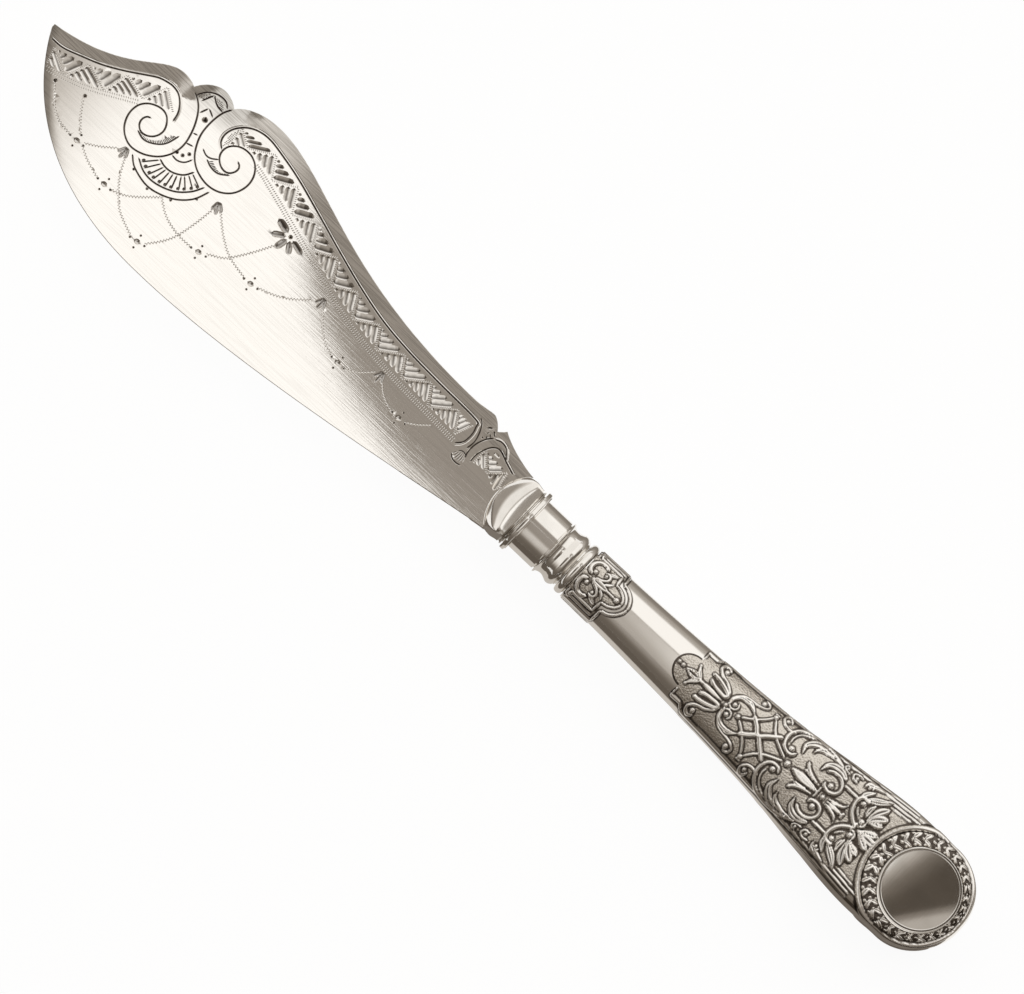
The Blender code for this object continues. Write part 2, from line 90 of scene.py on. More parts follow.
# %% [markdown]
# ## From arrays to a piece
# A surface on a grid of two parameters is an array of points, and its quads are found by counting.
# One helper makes the mesh, closes seams and poles, turns the faces outwards and hides the CAD node
# that the piece stands for. Everything here is one rigid body, so every piece rides on "root".

# %% Mesh helpers
MERGE = 1e-7


def grid_faces(rows, cols, wrap_rows=False, wrap_cols=False):
    """Corner numbers of the quads between the neighbours of a grid that is counted row by row."""
    i = np.arange(rows if wrap_rows else rows - 1)[:, None]
    j = np.arange(cols if wrap_cols else cols - 1)[None, :]
    below, beside = (i + 1) % rows, (j + 1) % cols
    quads = [i * cols + j, i * cols + beside, below * cols + beside, below * cols + j]
    return np.stack(quads, axis=-1).reshape(-1, 4).tolist()


def facing_strips(start, size):
    """Quads that close a loop, from each point of its first half to the one facing it in the second."""
    j = np.arange(size // 2 - 1)
    return (start + np.stack([j, j + 1, size - 2 - j, size - 1 - j], axis=-1)).tolist()


def add_piece(name, node, points, faces, sharp, **layers):
    """A closed mesh with its number layers, standing for one CAD node and riding on the body."""
    mesh = bpy.data.meshes.new(name)
    mesh.from_pydata(points.reshape(-1, 3).tolist(), [], faces)
    for layer, values in layers.items():
        mesh.attributes.new(layer, "FLOAT", "POINT").data.foreach_set("value", values.ravel())
    bm = bmesh.new()
    bm.from_mesh(mesh)
    bmesh.ops.remove_doubles(bm, verts=bm.verts, dist=MERGE)
    bmesh.ops.recalc_face_normals(bm, faces=bm.faces)
    open_edges = sum(not edge.is_manifold for edge in bm.edges)
    bm.to_mesh(mesh)
    bm.free()
    mesh.shade_smooth()
    mesh.set_sharp_from_angle(angle=math.radians(sharp))
    piece = bpy.data.objects.new(name, mesh)
    bpy.context.scene.collection.objects.link(piece)
    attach(piece, "root")
    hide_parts(node)
    print(name, len(mesh.polygons), "faces,", open_edges, "open edges")
    return piece


# %% [markdown]
# ## Turned pieces
# The neck, the ferrule and the ring were turned or spun from sheet. A turned surface is the simplest
# one of two parameters: how far along its profile, and how far round. The narrow collar at the back of
# each profile closes the soldered joint and leaves a fine dark line there.

# %% Turned surfaces
AROUND = 144
JOINT = 0.3 * MM
COLLAR_LENGTH, COLLAR_DROP = 0.95 * JOINT, 0.35 * MM
TANG_BORE = np.ptp(corners("tang"), axis=0)[2] / 2 + JOINT


def turned(outside, flat=1.0):
    """A profile of x and radius, with its collar and bore, carried round the axis.

    y is the radius times the cosine of the angle, and z the radius times its sine, times flat.
    """
    x_end, r_end = outside[-1]
    collar_end = x_end + COLLAR_LENGTH
    collar = [(x_end, r_end - COLLAR_DROP), (collar_end, r_end - COLLAR_DROP), (collar_end, TANG_BORE)]
    profile = np.array([*outside, *collar, (outside[0][0], TANG_BORE)])
    angle = np.linspace(0.0, math.tau, AROUND, endpoint=False)
    x = np.repeat(profile[:, :1], AROUND, axis=1)
    y = AXIS_Y + profile[:, 1:] * np.cos(angle)
    z = AXIS_Z + profile[:, 1:] * np.sin(angle) * flat
    return np.stack([x, y, z], axis=-1), grid_faces(len(profile), AROUND, True, True)


def moulding(x_start, x_end, foot, rise, first=0.0, last=1.0, steps=14):
    """Part of a half-round, or with a negative rise of a hollow: a half sine over a foot radius."""
    share = np.linspace(first, last, steps)
    x = x_start + (x_end - x_start) * (share - first) / (last - first)
    return np.column_stack([x, foot + rise * np.sqrt(np.sin(math.pi * share).clip(0.0))])


def smooth_through(stations, values, x):
    """A smooth curve through a few stations: cubic between them, level at both ends."""
    stations, values = np.array(stations), np.array(values)
    slopes = np.gradient(values, stations)
    slopes[0] = slopes[-1] = 0.0
    i = np.clip(np.searchsorted(stations, x) - 1, 0, len(stations) - 2)
    span = stations[i + 1] - stations[i]
    t = np.clip((x - stations[i]) / span, 0.0, 1.0)
    rise = values[i] * (1 + 2 * t) * (1 - t) ** 2 + values[i + 1] * t * t * (3 - 2 * t)
    return rise + span * t * (1 - t) * (slopes[i] * (1 - t) - slopes[i + 1] * t)


def add_turned(name, node, outside, flat=1.0, sharp=28):
    """A turned piece: its profile carried round the axis, standing for one CAD node."""
    points, faces = turned(outside, flat)
    return add_piece(name, node, points, faces, sharp)


# %% Neck, ferrule and ring
EDGE_ROUND = 0.12 * MM
neck_low, neck_high = corners("neck_sleeve")
neck_radius = neck_high[2] - AXIS_Z
neck_profile = [
    (neck_low[0], neck_radius - EDGE_ROUND),
    (neck_low[0] + EDGE_ROUND, neck_radius),
    (neck_high[0] - EDGE_ROUND, neck_radius),
    (neck_high[0], neck_radius - EDGE_ROUND),
]
neck = add_turned("polished_neck", "neck_sleeve", neck_profile)

FERRULE_STATIONS = [0.0, 0.10, 0.35, 0.9, 1.7, 2.6, 3.5, 4.4, 5.2, 5.9, 6.55]
FERRULE_RADII = [7.7, 8.0, 8.0, 7.42, 7.08, 7.08, 7.4, 7.74, 7.68, 7.3, 6.8]
ferrule_x = corners("ferrule")[0][0]
ferrule_steps = np.linspace(0.0, FERRULE_STATIONS[-1], 60)
ferrule_radius = smooth_through(FERRULE_STATIONS, FERRULE_RADII, ferrule_steps)
ferrule_profile = np.column_stack([ferrule_x + ferrule_steps * MM, ferrule_radius * MM])
ferrule = add_turned("turned_ferrule", "ferrule", ferrule_profile)

ring_low, ring_high = corners("ferrule_ring")
RING_RISE = 0.8 * MM
ring_radius = ring_high[2] - AXIS_Z
ring_profile = moulding(ring_low[0], ring_high[0], ring_radius - RING_RISE, RING_RISE, steps=20)
ring = add_turned("half_round_ring", "ferrule_ring", ring_profile)

# %% Flange: a half-round bead and a flat oval plate
bead_low, bead_high = corners("flange_front_plate")
bead_width, bead_depth = ((bead_high - bead_low) / 2)[1:]
BEAD_RISE = 0.55 * MM
HOLLOW_SHARE, HOLLOW_DROP, HOLLOW_SINK = 0.45, 0.35 * BEAD_RISE, 0.45 * BEAD_RISE
bead_start = bead_low[0] + HOLLOW_SHARE * (bead_high[0] - bead_low[0])
hollow = moulding(bead_low[0], bead_start, bead_width - HOLLOW_DROP, -HOLLOW_SINK, steps=10)
bead_round = moulding(bead_start, bead_high[0], bead_width - BEAD_RISE, BEAD_RISE, steps=14)
bead_profile = np.concatenate([hollow, bead_round])
flange_bead = add_turned("flange_bead", "flange_front_plate", bead_profile, bead_depth / bead_width)

plate_low, plate_high = corners("flange_rear_plate")
plate_width, plate_depth = ((plate_high - plate_low) / 2)[1:]
plate_profile = [
    (plate_low[0], plate_width - 2 * EDGE_ROUND),
    (plate_low[0] + EDGE_ROUND, plate_width - 0.5 * EDGE_ROUND),
    (plate_low[0] + 2 * EDGE_ROUND, plate_width),
    (plate_high[0] - 2 * EDGE_ROUND, plate_width),
    (plate_high[0] - EDGE_ROUND, plate_width - 0.5 * EDGE_ROUND),
    (plate_high[0], plate_width - 2 * EDGE_ROUND),
]
flange_plate = add_turned("flange_plate", "flange_rear_plate", plate_profile, plate_depth / plate_width)

# %% [markdown]
# ## The bolster
# The bolster is a cast shoulder that takes the blade's tongue. Its front is bowed and its top swells
# back to the flange like a quarter of a barrel. Loops round the axis are carried from front to back.
# The height depends on the share of the way from the bowed front, so a reflection is bowed like it.

# %% Bolster
BOW = 3.4 * MM
BOLSTER_SQUARE, BOLSTER_TAPER, BOLSTER_SLIM = 26.0, 0.05, 0.90
BOLSTER_TOP, BOLSTER_RISE = 7.0 * MM, 3.5 * MM
SWELL_END, SWELL_POWER = 0.85, 2.2
TAPER_START, TAPER_RUN = 0.45, 0.5
BOLSTER_LIP = 0.15 * MM
bolster_low, bolster_high = corners("bolster")
bolster_back = bolster_high[0] + COLLAR_LENGTH
bolster_width = BOLSTER_SLIM * (bolster_high - bolster_low)[1] / 2


def bow(y):
    """How far a round arc through the bolster's corners lies behind its foremost point at y."""
    radius = (bolster_width**2 + BOW**2) / (2 * BOW)
    return radius - np.sqrt(radius**2 - np.square(y))


def half_box_rays(top, side):
    """Rays from the axis through points set evenly along the sides and the top of a half box."""
    rising = np.linspace(0.0, 1.0, side, endpoint=False)
    across = np.linspace(1.0, -1.0, top)
    y = np.concatenate([np.ones(side), across, -np.ones(side)])
    z = np.concatenate([rising, np.ones(top), rising[::-1]])
    return y, z


def bolster_surface():
    """Nearly square loops from the bowed front to the flange, then into the tang's socket.

    Each ray of a box is cut where its two shares, raised to the squareness, add up to 1. The half
    depth is its full value less a rise times a power of the share of the swelling still to come.
    """
    half_y, half_z = half_box_rays(top=40, side=14)
    ray_y, ray_z = np.concatenate([half_y, half_y[::-1]]), np.concatenate([half_z, -half_z[::-1]])
    size = len(ray_y)
    reach = (np.abs(ray_y) ** BOLSTER_SQUARE + np.abs(ray_z) ** BOLSTER_SQUARE) ** (-1 / BOLSTER_SQUARE)
    y, lift = bolster_width * ray_y * reach, ray_z * reach
    angle = np.arctan2(ray_z, ray_y)
    c, s = np.cos(angle), np.sin(angle)
    front = bolster_low[0] + bow(y)
    share = np.concatenate([[0.0, 0.0, 0.02], np.linspace(0.04, 1.0, 60)])[:, None]
    x = front + share * (bolster_back - front)
    to_come = np.clip(1 - share / SWELL_END, 0.0, 1.0)
    half = np.tile(BOLSTER_TOP - BOLSTER_RISE * to_come**SWELL_POWER, size)
    half[1] -= BOLSTER_LIP
    z = half * lift
    z[0] = np.clip(z[0], BACK_Z - AXIS_Z, FRONT_Z - AXIS_Z)
    late = np.clip((share - TAPER_START) / TAPER_RUN, 0.0, 1.0)
    narrowed = y * (1 - BOLSTER_TAPER * late * late * (3 - 2 * late))
    loops = np.stack([x, AXIS_Y + narrowed, AXIS_Z + z], axis=-1)
    socket = np.stack([np.zeros(size), AXIS_Y + TANG_BORE * c, AXIS_Z + TANG_BORE * s], axis=-1)
    socket_depth = bolster_back - corners("tang")[0][0] + JOINT
    mouth = socket + (bolster_back, 0, 0)
    floor = mouth - (socket_depth, 0, 0)
    loops = np.concatenate([loops, mouth[None], floor[None]])
    rows = len(loops)
    faces = grid_faces(rows, size, wrap_cols=True)
    return loops, faces + facing_strips(0, size) + facing_strips((rows - 1) * size, size)


bolster = add_piece("cast_bolster", "bolster", *bolster_surface(), sharp=35)

# %% [markdown]
# ## The blade's outline
# The blade was sawn from rolled sheet. Its back is a chain of scrolls, and its edge one long belly.
# Each stretch is a cubic curve between two named points, with a slope and a reach at both ends, as in
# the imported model, but cut finer.

# %% Blade outline
HEEL = 160.5
HEEL_RISE, HEEL_DROP = 9.1, 8.9
HEEL_REACH = 0.9 * JOINT
BACK_POINTS = [
    ("tip", 0.0, 8.75),
    ("scroll", 32.15, 22.5),
    ("scroll_end", 35.95, 21.6),
    ("shell", 42.45, 26.2),
    ("shell_end", 47.15, 24.4),
    ("crest", 58.75, 28.9),
    ("waist", HEEL - 20.0, 13.3),
    ("tooth", HEEL - 13.2, 13.9),
    ("notch", HEEL - 10.0, 11.3),
    ("cusp", HEEL - 8.2, 13.0),
    ("heel", HEEL + bow(HEEL_RISE * MM) / MM, HEEL_RISE),
]
BACK_CURVES = [
    (0.14, 0.68, 0.0, 0.23),
    (0.0, 0.37, -0.6, 0.21),
    (2.0, 0.18, 0.0, 0.42),
    (0.0, 0.42, -0.9, 0.21),
    (1.3, 0.17, 0.0, 0.47),
    (0.0, 0.21, 0.0, 0.57),
    (0.0, 0.4, 0.0, 0.3),
    (-0.3, 0.35, -1.5, 0.25),
    (0.6, 0.3, 1.2, 0.3),
    (-0.6, 0.25, -0.12, 0.35),
]
EDGE_POINTS = [
    ("tip_low", 0.0, 7.75),
    ("belly", 59.75, -22.4),
    ("heel_low", HEEL + bow(HEEL_DROP * MM) / MM, -HEEL_DROP),
]
EDGE_CURVES = [(-1.92, 0.276, 0.0, 0.107), (0.0, 0.344, 0.1125, 0.092)]
OUTLINE_STEP = 0.6


def bend(start, end, curve):
    """A cubic curve from start up to end. Each control point lies a share of the span away."""
    start, end = np.array(start), np.array(end)
    slope, reach, end_slope, end_reach = curve
    span = end[0] - start[0]
    first = start + reach * span * np.array([1.0, slope])
    second = end - end_reach * span * np.array([1.0, end_slope])
    count = max(5, round(np.linalg.norm(end - start) / OUTLINE_STEP))
    t = np.linspace(0.0, 1.0, count, endpoint=False)[:, None]
    return (1 - t) ** 3 * start + 3 * (1 - t) ** 2 * t * first + 3 * (1 - t) * t * t * second + t**3 * end


def chain(stops, curves):
    """The stretches between named stops, one after another."""
    places = [stop[1:] for stop in stops]
    return np.concatenate([bend(*ends) for ends in zip(places, places[1:], curves)])


def blade_plan(points):
    """Millimetres from the tip and from the axis, as drawing units."""
    return on_drawing(points * MM + (TIP_X, AXIS_Y))


heel_y = np.linspace(HEEL_RISE, -HEEL_DROP, 40)
heel_x = HEEL + (bow(heel_y * MM) + HEEL_REACH) / MM
back_line = blade_plan(chain(BACK_POINTS, BACK_CURVES))
heel_line = blade_plan(np.column_stack([heel_x, heel_y]))
edge_line = blade_plan(chain(EDGE_POINTS, EDGE_CURVES)[::-1])
outline = np.concatenate([back_line, heel_line, edge_line])
print("blade outline of", len(outline), "points")

# %% [markdown]
# ## How a cut is made
# A graver leaves a groove: a short profile carried along a path, widest in the middle and pointed at
# both ends. So a cut is a smooth path with a half width at each point. A given list of a few points
# gives the path, and a cubic spline fills it in.

# %% Paths and cuts
TINY = 1e-9


def curve_through(points, step):
    """A Catmull-Rom curve through the points, cut into equal steps."""
    points = np.asarray(points, float)
    ends = np.vstack([2 * points[0] - points[1], points, 2 * points[-1] - points[-2]])
    p0, p1, p2, p3 = (ends[i : len(ends) - 3 + i, None] for i in range(4))
    t = np.linspace(0.0, 1.0, 12, endpoint=False)[None, :, None]
    cubic = 2 * p1 + (p2 - p0) * t + (2 * p0 - 5 * p1 + 4 * p2 - p3) * t**2
    dense = ((cubic + (3 * p1 - p0 - 3 * p2 + p3) * t**3) / 2).reshape(-1, 2)
    dense = np.vstack([dense, points[-1:]])
    length = np.concatenate([[0.0], np.cumsum(np.linalg.norm(np.diff(dense, axis=0), axis=1))])
    at = np.linspace(0.0, length[-1], max(3, round(length[-1] / step) + 1))
    return np.column_stack([np.interp(at, length, dense[:, k]) for k in range(2)])


def side_of(path):
    """The unit vector to the left of a path at each point."""
    along = np.gradient(path, axis=0)
    along /= np.linalg.norm(along, axis=1)[:, None] + TINY
    return np.column_stack([-along[:, 1], along[:, 0]])


def rounded_ends(path, taper):
    """1 along a path, and a quarter round down to 0 over the taper at each end."""
    length = np.concatenate([[0.0], np.cumsum(np.linalg.norm(np.diff(path, axis=0), axis=1))])
    near = np.clip(np.minimum(length, length[-1] - length) / taper, 0.0, 1.0)
    return np.sqrt(near * (2 - near))


def nearest(points, path, half):
    """For each point, its distance to the path, the half width there, and 1 to the left of it or -1."""
    best, width, left = np.full(len(points), np.inf), np.zeros(len(points)), np.ones(len(points))
    for start, end, wide, next_wide in zip(path[:-1], path[1:], half[:-1], half[1:]):
        along = end - start
        t = np.clip((points - start) @ along / max(along @ along, TINY), 0.0, 1.0)
        away = points - start - t[:, None] * along
        gap = np.linalg.norm(away, axis=1)
        closer = gap < best
        best[closer] = gap[closer]
        width[closer] = (wide + (next_wide - wide) * t)[closer]
        left[closer] = np.where(along[0] * away[:, 1] >= along[1] * away[:, 0], 1.0, -1.0)[closer]
    return best, width, left


V_CUT, ROUND_CUT = 1.0, 2.0
BROAD_STEP, BROAD_TAPER = 0.7, 1.6
PIT_STAIN_AND_SHADE = 0.9
TICK_LENGTH, TICK_HALF, TICK_STEEP, TICK_STAIN_AND_SHADE = 3.2, 0.8, 0.5, 0.36
cuts = []


def line_cut(points, half=1.1, step=2.5, taper=3.0, steep=0.75, stain_and_shade=1.0):
    """A thin V groove along a smooth curve. Its middle is darkened by dirt and painted shade, fully at the
    default share of 1.
    """
    path = curve_through(points, step)
    cuts.append((path, half * rounded_ends(path, taper), steep, V_CUT, stain_and_shade, 0.0))


def broad_path(points, half):
    """The path of a broad cut, in steps that suit its half width, and its widths with round ends."""
    path = curve_through(points, max(half * BROAD_STEP, 1.0))
    return path, half * rounded_ends(path, half * BROAD_TAPER)


def gouge(points, half, steep=0.5, stain_and_shade=0.2):
    """A broad round-bottomed cut with round ends, burnished by the tool."""
    cuts.append((*broad_path(points, half), steep, ROUND_CUT, stain_and_shade, 0.0))


def bright_cut(points, half, steep, lean, stain_and_shade):
    """A cut with a tilted graver: two flat walls that meet in a line off its middle.

    With a lean above 0 the broad wall looks towards the blade's back, and below 0 towards its edge.
    """
    path, width = broad_path(points, half)
    deep = lean * np.sign(side_of(path)[len(path) // 2, 1])
    cuts.append((path, width, steep, V_CUT, stain_and_shade, deep))


def pit(centre, radius, steep=0.8):
    """A dot struck with a round punch."""
    path = np.array([centre, centre], float)
    cuts.append((path, np.full(2, float(radius)), steep, ROUND_CUT, PIT_STAIN_AND_SHADE, 0.0))


def ticks(path):
    """Short cross cuts set along a path."""
    reach = side_of(path) * TICK_LENGTH / 2
    for start, end in zip(path - reach, path + reach):
        line_cut([start, end], TICK_HALF, TICK_LENGTH / 2, TICK_LENGTH / 2, TICK_STEEP, TICK_STAIN_AND_SHADE)


# %% [markdown]
# ## The herringbone border
# Along the back runs a band of bright-cut triangles between two lines. Its zigzag is a list of corners,
# and each three neighbours hold a triangle of parallel cuts, made with a tilted graver. Lower triangles
# hold equal cuts, and upper ones four that widen. The lower line of the band is milled: two rows of
# fine ticks.

# %% Border lines and herringbone
TIP_BORDER = [(-736, 20), (-720, 21), (-700, 28), (-680, 36), (-660, 47), (-640, 60), (-630, 66), (-620, 69)]
TIP_BORDER += [(-613, 69.5), (-605, 67.5), (-597, 61), (-592, 53), (-590, 43)]
LONG_BORDER = [(-535, 57), (-541, 62), (-543.5, 70), (-541, 80), (-533, 90), (-522, 96), (-508, 98)]
LONG_BORDER += [(-490, 95.5), (-460, 89), (-420, 77), (-380, 64.5), (-340, 53), (-300, 44), (-260, 39.5)]
LONG_BORDER += [(-220, 37.8), (-166, 36.5), (-160, 32), (-157.5, 22), (-159, 11), (-165, 4)]
TIP_MILLED = [(-719, -5), (-700, -1), (-680, 6), (-660, 16), (-640, 27), (-629, 33)]
LONG_MILLED = [(-499, 69), (-480, 64.5), (-440, 53), (-400, 41), (-360, 28), (-320, 18)]
LONG_MILLED += [(-280, 12), (-240, 9), (-200, 7.3), (-168, 6)]
TIP_ZIGZAG = [(-721, -1), (-727, 16), (-700, 2), (-690, 27), (-661, 18), (-655, 46), (-627, 39), (-617, 65)]
TIP_ZIGZAG += [(-596, 50)]
HERRING_PITCH, HERRING_COUNT, HERRING_LEAN = 38.4, 9, 13.5
LOWER_CUT = {"steep": 0.5, "lean": 0.15, "stain_and_shade": 0.55}
UPPER_CUT = {"steep": 0.34, "lean": -0.4, "stain_and_shade": 0.6}
UPPER_SHARES = [0.13, 0.29, 0.49, 0.72, 0.98]
FULL_SHARE, CORNER_ROOM = 0.96, 0.6
CUT_END_GAP, SHORTEST_CUT = 1.8, 0.3
SIDE_TRIM, SIDE_STEP = 0.05, 2.1
FIRST_TOP = -491.5
TOP_GAP, BOTTOM_GAP = 4.5, 5.0
MILL_STEP, MILL_OFFSET = 2.4, 1.75
SHINE_AWAY, SHINE_HALF, SHINE_STEEP, SHINE_STAIN_AND_SHADE = 2.0, 0.75, 0.45, 0.05


def shine_beside(points):
    """A fine bright cut beside a line cut, on its side towards the blade's back."""
    shine = curve_through(points, 2.0)
    outward = side_of(shine)
    shine += SHINE_AWAY * outward * np.sign(outward[:, 1].sum())
    cuts.append((shine, SHINE_HALF * rounded_ends(shine, 2.0), SHINE_STEEP, V_CUT, SHINE_STAIN_AND_SHADE, 0.0))


for border in (TIP_BORDER, LONG_BORDER):
    line_cut(border, 1.15)
    shine_beside(border)
for points in (TIP_MILLED, LONG_MILLED):
    milled = curve_through(points, MILL_STEP)
    offset = side_of(milled) * MILL_OFFSET
    ticks(milled + offset)
    ticks(milled - offset)


def height_on(points, s):
    """Height of a smooth drawn line at s."""
    line = curve_through(points, 2.0)
    return np.interp(s, line[:, 0], line[:, 1])


tops = FIRST_TOP + HERRING_PITCH * np.arange(HERRING_COUNT)
bottoms = tops + HERRING_LEAN
border_rise = height_on(LONG_BORDER[6:16], tops) - TOP_GAP
milled_rise = height_on(LONG_MILLED, bottoms) + BOTTOM_GAP
pairs = np.stack([np.column_stack([tops, border_rise]), np.column_stack([bottoms, milled_rise])], axis=1)
long_zigzag = np.vstack([[(-534, 64), (-535, 87), (-517, 76)], pairs.reshape(-1, 2), [(-163, 31)]])


def herringbone(corners_on_band, pitch):
    """Cuts across each triangle of a zigzag, and a row of ticks along each of its sides.

    The cuts lie parallel to the side opposite the triangle's first corner. A lower triangle holds equal
    cuts, about a pitch apart. An upper one holds four that widen with their distance from the corner.
    """
    band = np.asarray(corners_on_band, float)
    for corner, left, right in zip(band, band[1:], band[2:]):
        (ax, ay), (bx, by), base = left - corner, right - corner, np.linalg.norm(right - left)
        turning = ax * by - ay * bx
        rise = abs(turning) / base
        count = max(2, round(rise / pitch - CORNER_ROOM))
        first_share = FULL_SHARE * CORNER_ROOM / (count + CORNER_ROOM)
        shares = np.linspace(FULL_SHARE, first_share, count + 1)[::-1]
        shape = LOWER_CUT
        if turning > 0:
            shares, shape = np.array(UPPER_SHARES), UPPER_CUT
        for share, half in zip((shares[1:] + shares[:-1]) / 2, np.diff(shares) * rise / 2):
            ends = corner + share * (np.array([left, right]) - corner)
            middle, length = ends.mean(axis=0), share * base
            kept = max(SHORTEST_CUT, 1 - CUT_END_GAP / length)
            bright_cut(middle + (ends - middle) * kept, half, **shape)
    for start, end in zip(band, band[1:]):
        trim = (end - start) * SIDE_TRIM
        ticks(curve_through([start + trim, end - trim], SIDE_STEP))


herringbone(TIP_ZIGZAG, pitch=5.6)
herringbone(long_zigzag, pitch=6.0)
print(len(cuts), "cuts with the border")

# %% [markdown]
# ## Scrolls and the fan
# Two volutes end the border bands and hold a small fan between them. Each volute is one long line cut.
# The fan's ribs run from its inner line to its ring, each with a drop beside its outer end. Hatching
# is a row of short cuts from a crescent's outer line towards its inner one.

# %% Volutes and fan
VOLUTE = [(-595, 81), (-585, 75), (-577, 66), (-570, 52), (-566, 36), (-567.5, 22), (-574, 10)]
VOLUTE += [(-585, 1), (-597, -3.5), (-607, -3.5), (-617, 1.5), (-624, 10), (-627.5, 21), (-626, 32)]
VOLUTE += [(-619, 40.5), (-608, 45), (-599, 43.5), (-592.5, 37), (-590, 29), (-592.5, 20.5)]
VOLUTE += [(-599, 15), (-606.5, 14), (-612, 18), (-614, 24), (-611.5, 29.5), (-607, 31)]
LONG_VOLUTE = [(-555, 94), (-560, 84), (-562, 70), (-561, 55), (-556, 42), (-548, 31), (-537, 24)]
LONG_VOLUTE += [(-522, 21), (-508, 24), (-497, 33), (-492, 46), (-493, 58), (-499, 67.5), (-509, 73)]
LONG_VOLUTE += [(-520, 73), (-528.5, 68.5), (-533.5, 61), (-533, 52.5), (-527, 45.5), (-519, 43)]
LONG_VOLUTE += [(-513, 45.5), (-510, 51), (-510.5, 56.5), (-516, 60)]
HATCH_STEP, HATCH_SHARE = 1.9, 0.6
line_cut(VOLUTE, 1.15)
line_cut(LONG_VOLUTE, 1.15)


def crescent(outer, inner):
    """A hatched crescent: its outer line, and cuts from it towards an inner line."""
    line_cut(outer, 1.0)
    outer, inner = curve_through(outer, HATCH_STEP), curve_through(inner, 1.0)
    reach = inner[np.linspace(0, len(inner) - 1, len(outer)).astype(int)]
    for start, end in zip(outer[2:-2], reach[2:-2]):
        line_cut([start, start + (end - start) * HATCH_SHARE], half=0.6, step=1.5, taper=1.5)


TIP_CRESCENT = [(-610, 13), (-600, 10), (-590, 13), (-580, 22), (-575, 38)]
LONG_CRESCENT = [(-540, 40), (-531, 36.5), (-521, 37), (-511, 44)]
crescent(TIP_CRESCENT, [(-606, 14), (-594, 18), (-588, 26), (-582, 34)])
crescent(LONG_CRESCENT, [(-532, 47), (-527, 44), (-519, 42), (-511, 48)])
line_cut([(-550, 45), (-543, 42), (-537, 43), (-530, 48)], 1.0)

FAN_OUTER = [(-597, -8), (-585, -17), (-562, -21.5), (-538, -14), (-522, 0), (-514.5, 18)]
FAN_RING = [(-590, -6.5), (-576, -13.5), (-560, -14), (-541, -7), (-528, 5), (-521, 18)]
FAN_INNER = [(-574, 7.5), (-565, 5), (-555, 6), (-545, 12), (-539, 22)]
FAN_RIBS, RIB_HALF, RIB_TRIM = 11, 0.95, (0.04, 0.05)
DROP_ASIDE, DROP_ENDS = 0.08, (0.30, 0.08)
line_cut(FAN_OUTER, 1.1)
line_cut(FAN_RING, 1.1)
line_cut(FAN_INNER, 1.1)
fan_outer, fan_inner = curve_through(FAN_RING, 1.0), curve_through(FAN_INNER, 1.0)
for share in np.linspace(0.06, 0.94, FAN_RIBS):
    outer = fan_outer[int(share * (len(fan_outer) - 1))]
    inner = fan_inner[int(share * (len(fan_inner) - 1))]
    along = outer - inner
    line_cut([inner + along * RIB_TRIM[0], outer - along * RIB_TRIM[1]], RIB_HALF)
    beside = along[::-1] * (DROP_ASIDE, -DROP_ASIDE)
    gouge([outer - along * share_in + beside for share_in in DROP_ENDS], half=1.5, steep=0.6, stain_and_shade=0.9)
for tooth in [(-585, -18.5), (-562, -23.5), (-537, -15.5), (-519, 3)]:
    pit(tooth, 1.7)

line_cut([(-592, 79), (-585, 89.5), (-575, 95), (-565, 95), (-559, 90)], 1.0)
line_cut([(-578, 92), (-584, 78)], 1.0)
line_cut([(-578, 91.5), (-569, 86), (-560, 85)], 1.0)
line_cut([(-577, 68), (-573, 78.5)], 1.1)
line_cut([(-573, 78.5), (-563.5, 74)], 1.1)
line_cut([(-568, 49), (-562, 51)], 1.0)
line_cut([(-566, 37), (-557.5, 39.5)], 1.0)
line_cut([(-568, 18.5), (-560, 18), (-553, 22), (-549, 30)], 1.0)
pit((-568, 67), 3.5)
for dot in [(-566, 24), (-559.5, 25.5), (-555.5, 31)]:
    pit(dot, 2.3)


def stipple(start, end, half, pitch):
    """Rows of dots in a lens-shaped patch."""
    start, end = np.array(start, float), np.array(end, float)
    along = (end - start) / np.linalg.norm(end - start)
    side = np.array([-along[1], along[0]])
    for t in np.arange(0.0, np.linalg.norm(end - start), pitch):
        room = half * math.sin(math.pi * t / np.linalg.norm(end - start))
        for across in np.arange(-room, room + TINY, pitch):
            pit(start + along * t + side * across, 0.7)


stipple((-590, 80), (-579, 90), 3.0, 1.7)
stipple((-577, 91.5), (-561, 87.5), 2.6, 1.7)
stipple((-537, 61), (-537, 84), 2.0, 1.8)
print(len(cuts), "cuts with the scrolls")

# %% [markdown]
# ## Festoons and the flower
# Fine festoons hang over the plain of the blade. They are wriggle work, made by rocking a flat graver
# from corner to corner, so the groove swings from side to side and swells at each turn, like a cord.
# Each festoon carries an oval between four dots.

# %% Festoons, sprigs and flower
CORD_STEP, CORD_SWING = 0.8, 0.65
CORD_THIN, CORD_SWELL = 0.35, 0.75
CORD_STEEP, CORD_STAIN_AND_SHADE = 0.45, 0.22
OVAL_REACH, OVAL_HALF = 4.0, 2.9
DOT_ALONG, DOT_ASIDE, DOT_RADIUS = 8.5, 7.0, 1.4
DART_LENGTH, DART_HALF, DART_SPREAD = 15.0, 2.1, 0.45


def cord(points):
    """A V groove that swings to the left and right of a smooth curve and swells at each turn."""
    path = curve_through(points, CORD_STEP)
    lead = np.arange(3, 0, -1)[:, None]
    before, after = path[0] + lead * (path[0] - path[1]), path[-1] + lead[::-1] * (path[-1] - path[-2])
    path = np.vstack([before, path, after])
    beat = np.sin(np.arange(len(path)) * math.pi / 2)
    half = (CORD_THIN + CORD_SWELL * np.abs(beat)) * rounded_ends(path, 1.5)
    path = path + CORD_SWING * beat[:, None] * side_of(path)
    cuts.append((path, half, CORD_STEEP, V_CUT, CORD_STAIN_AND_SHADE, 0.0))


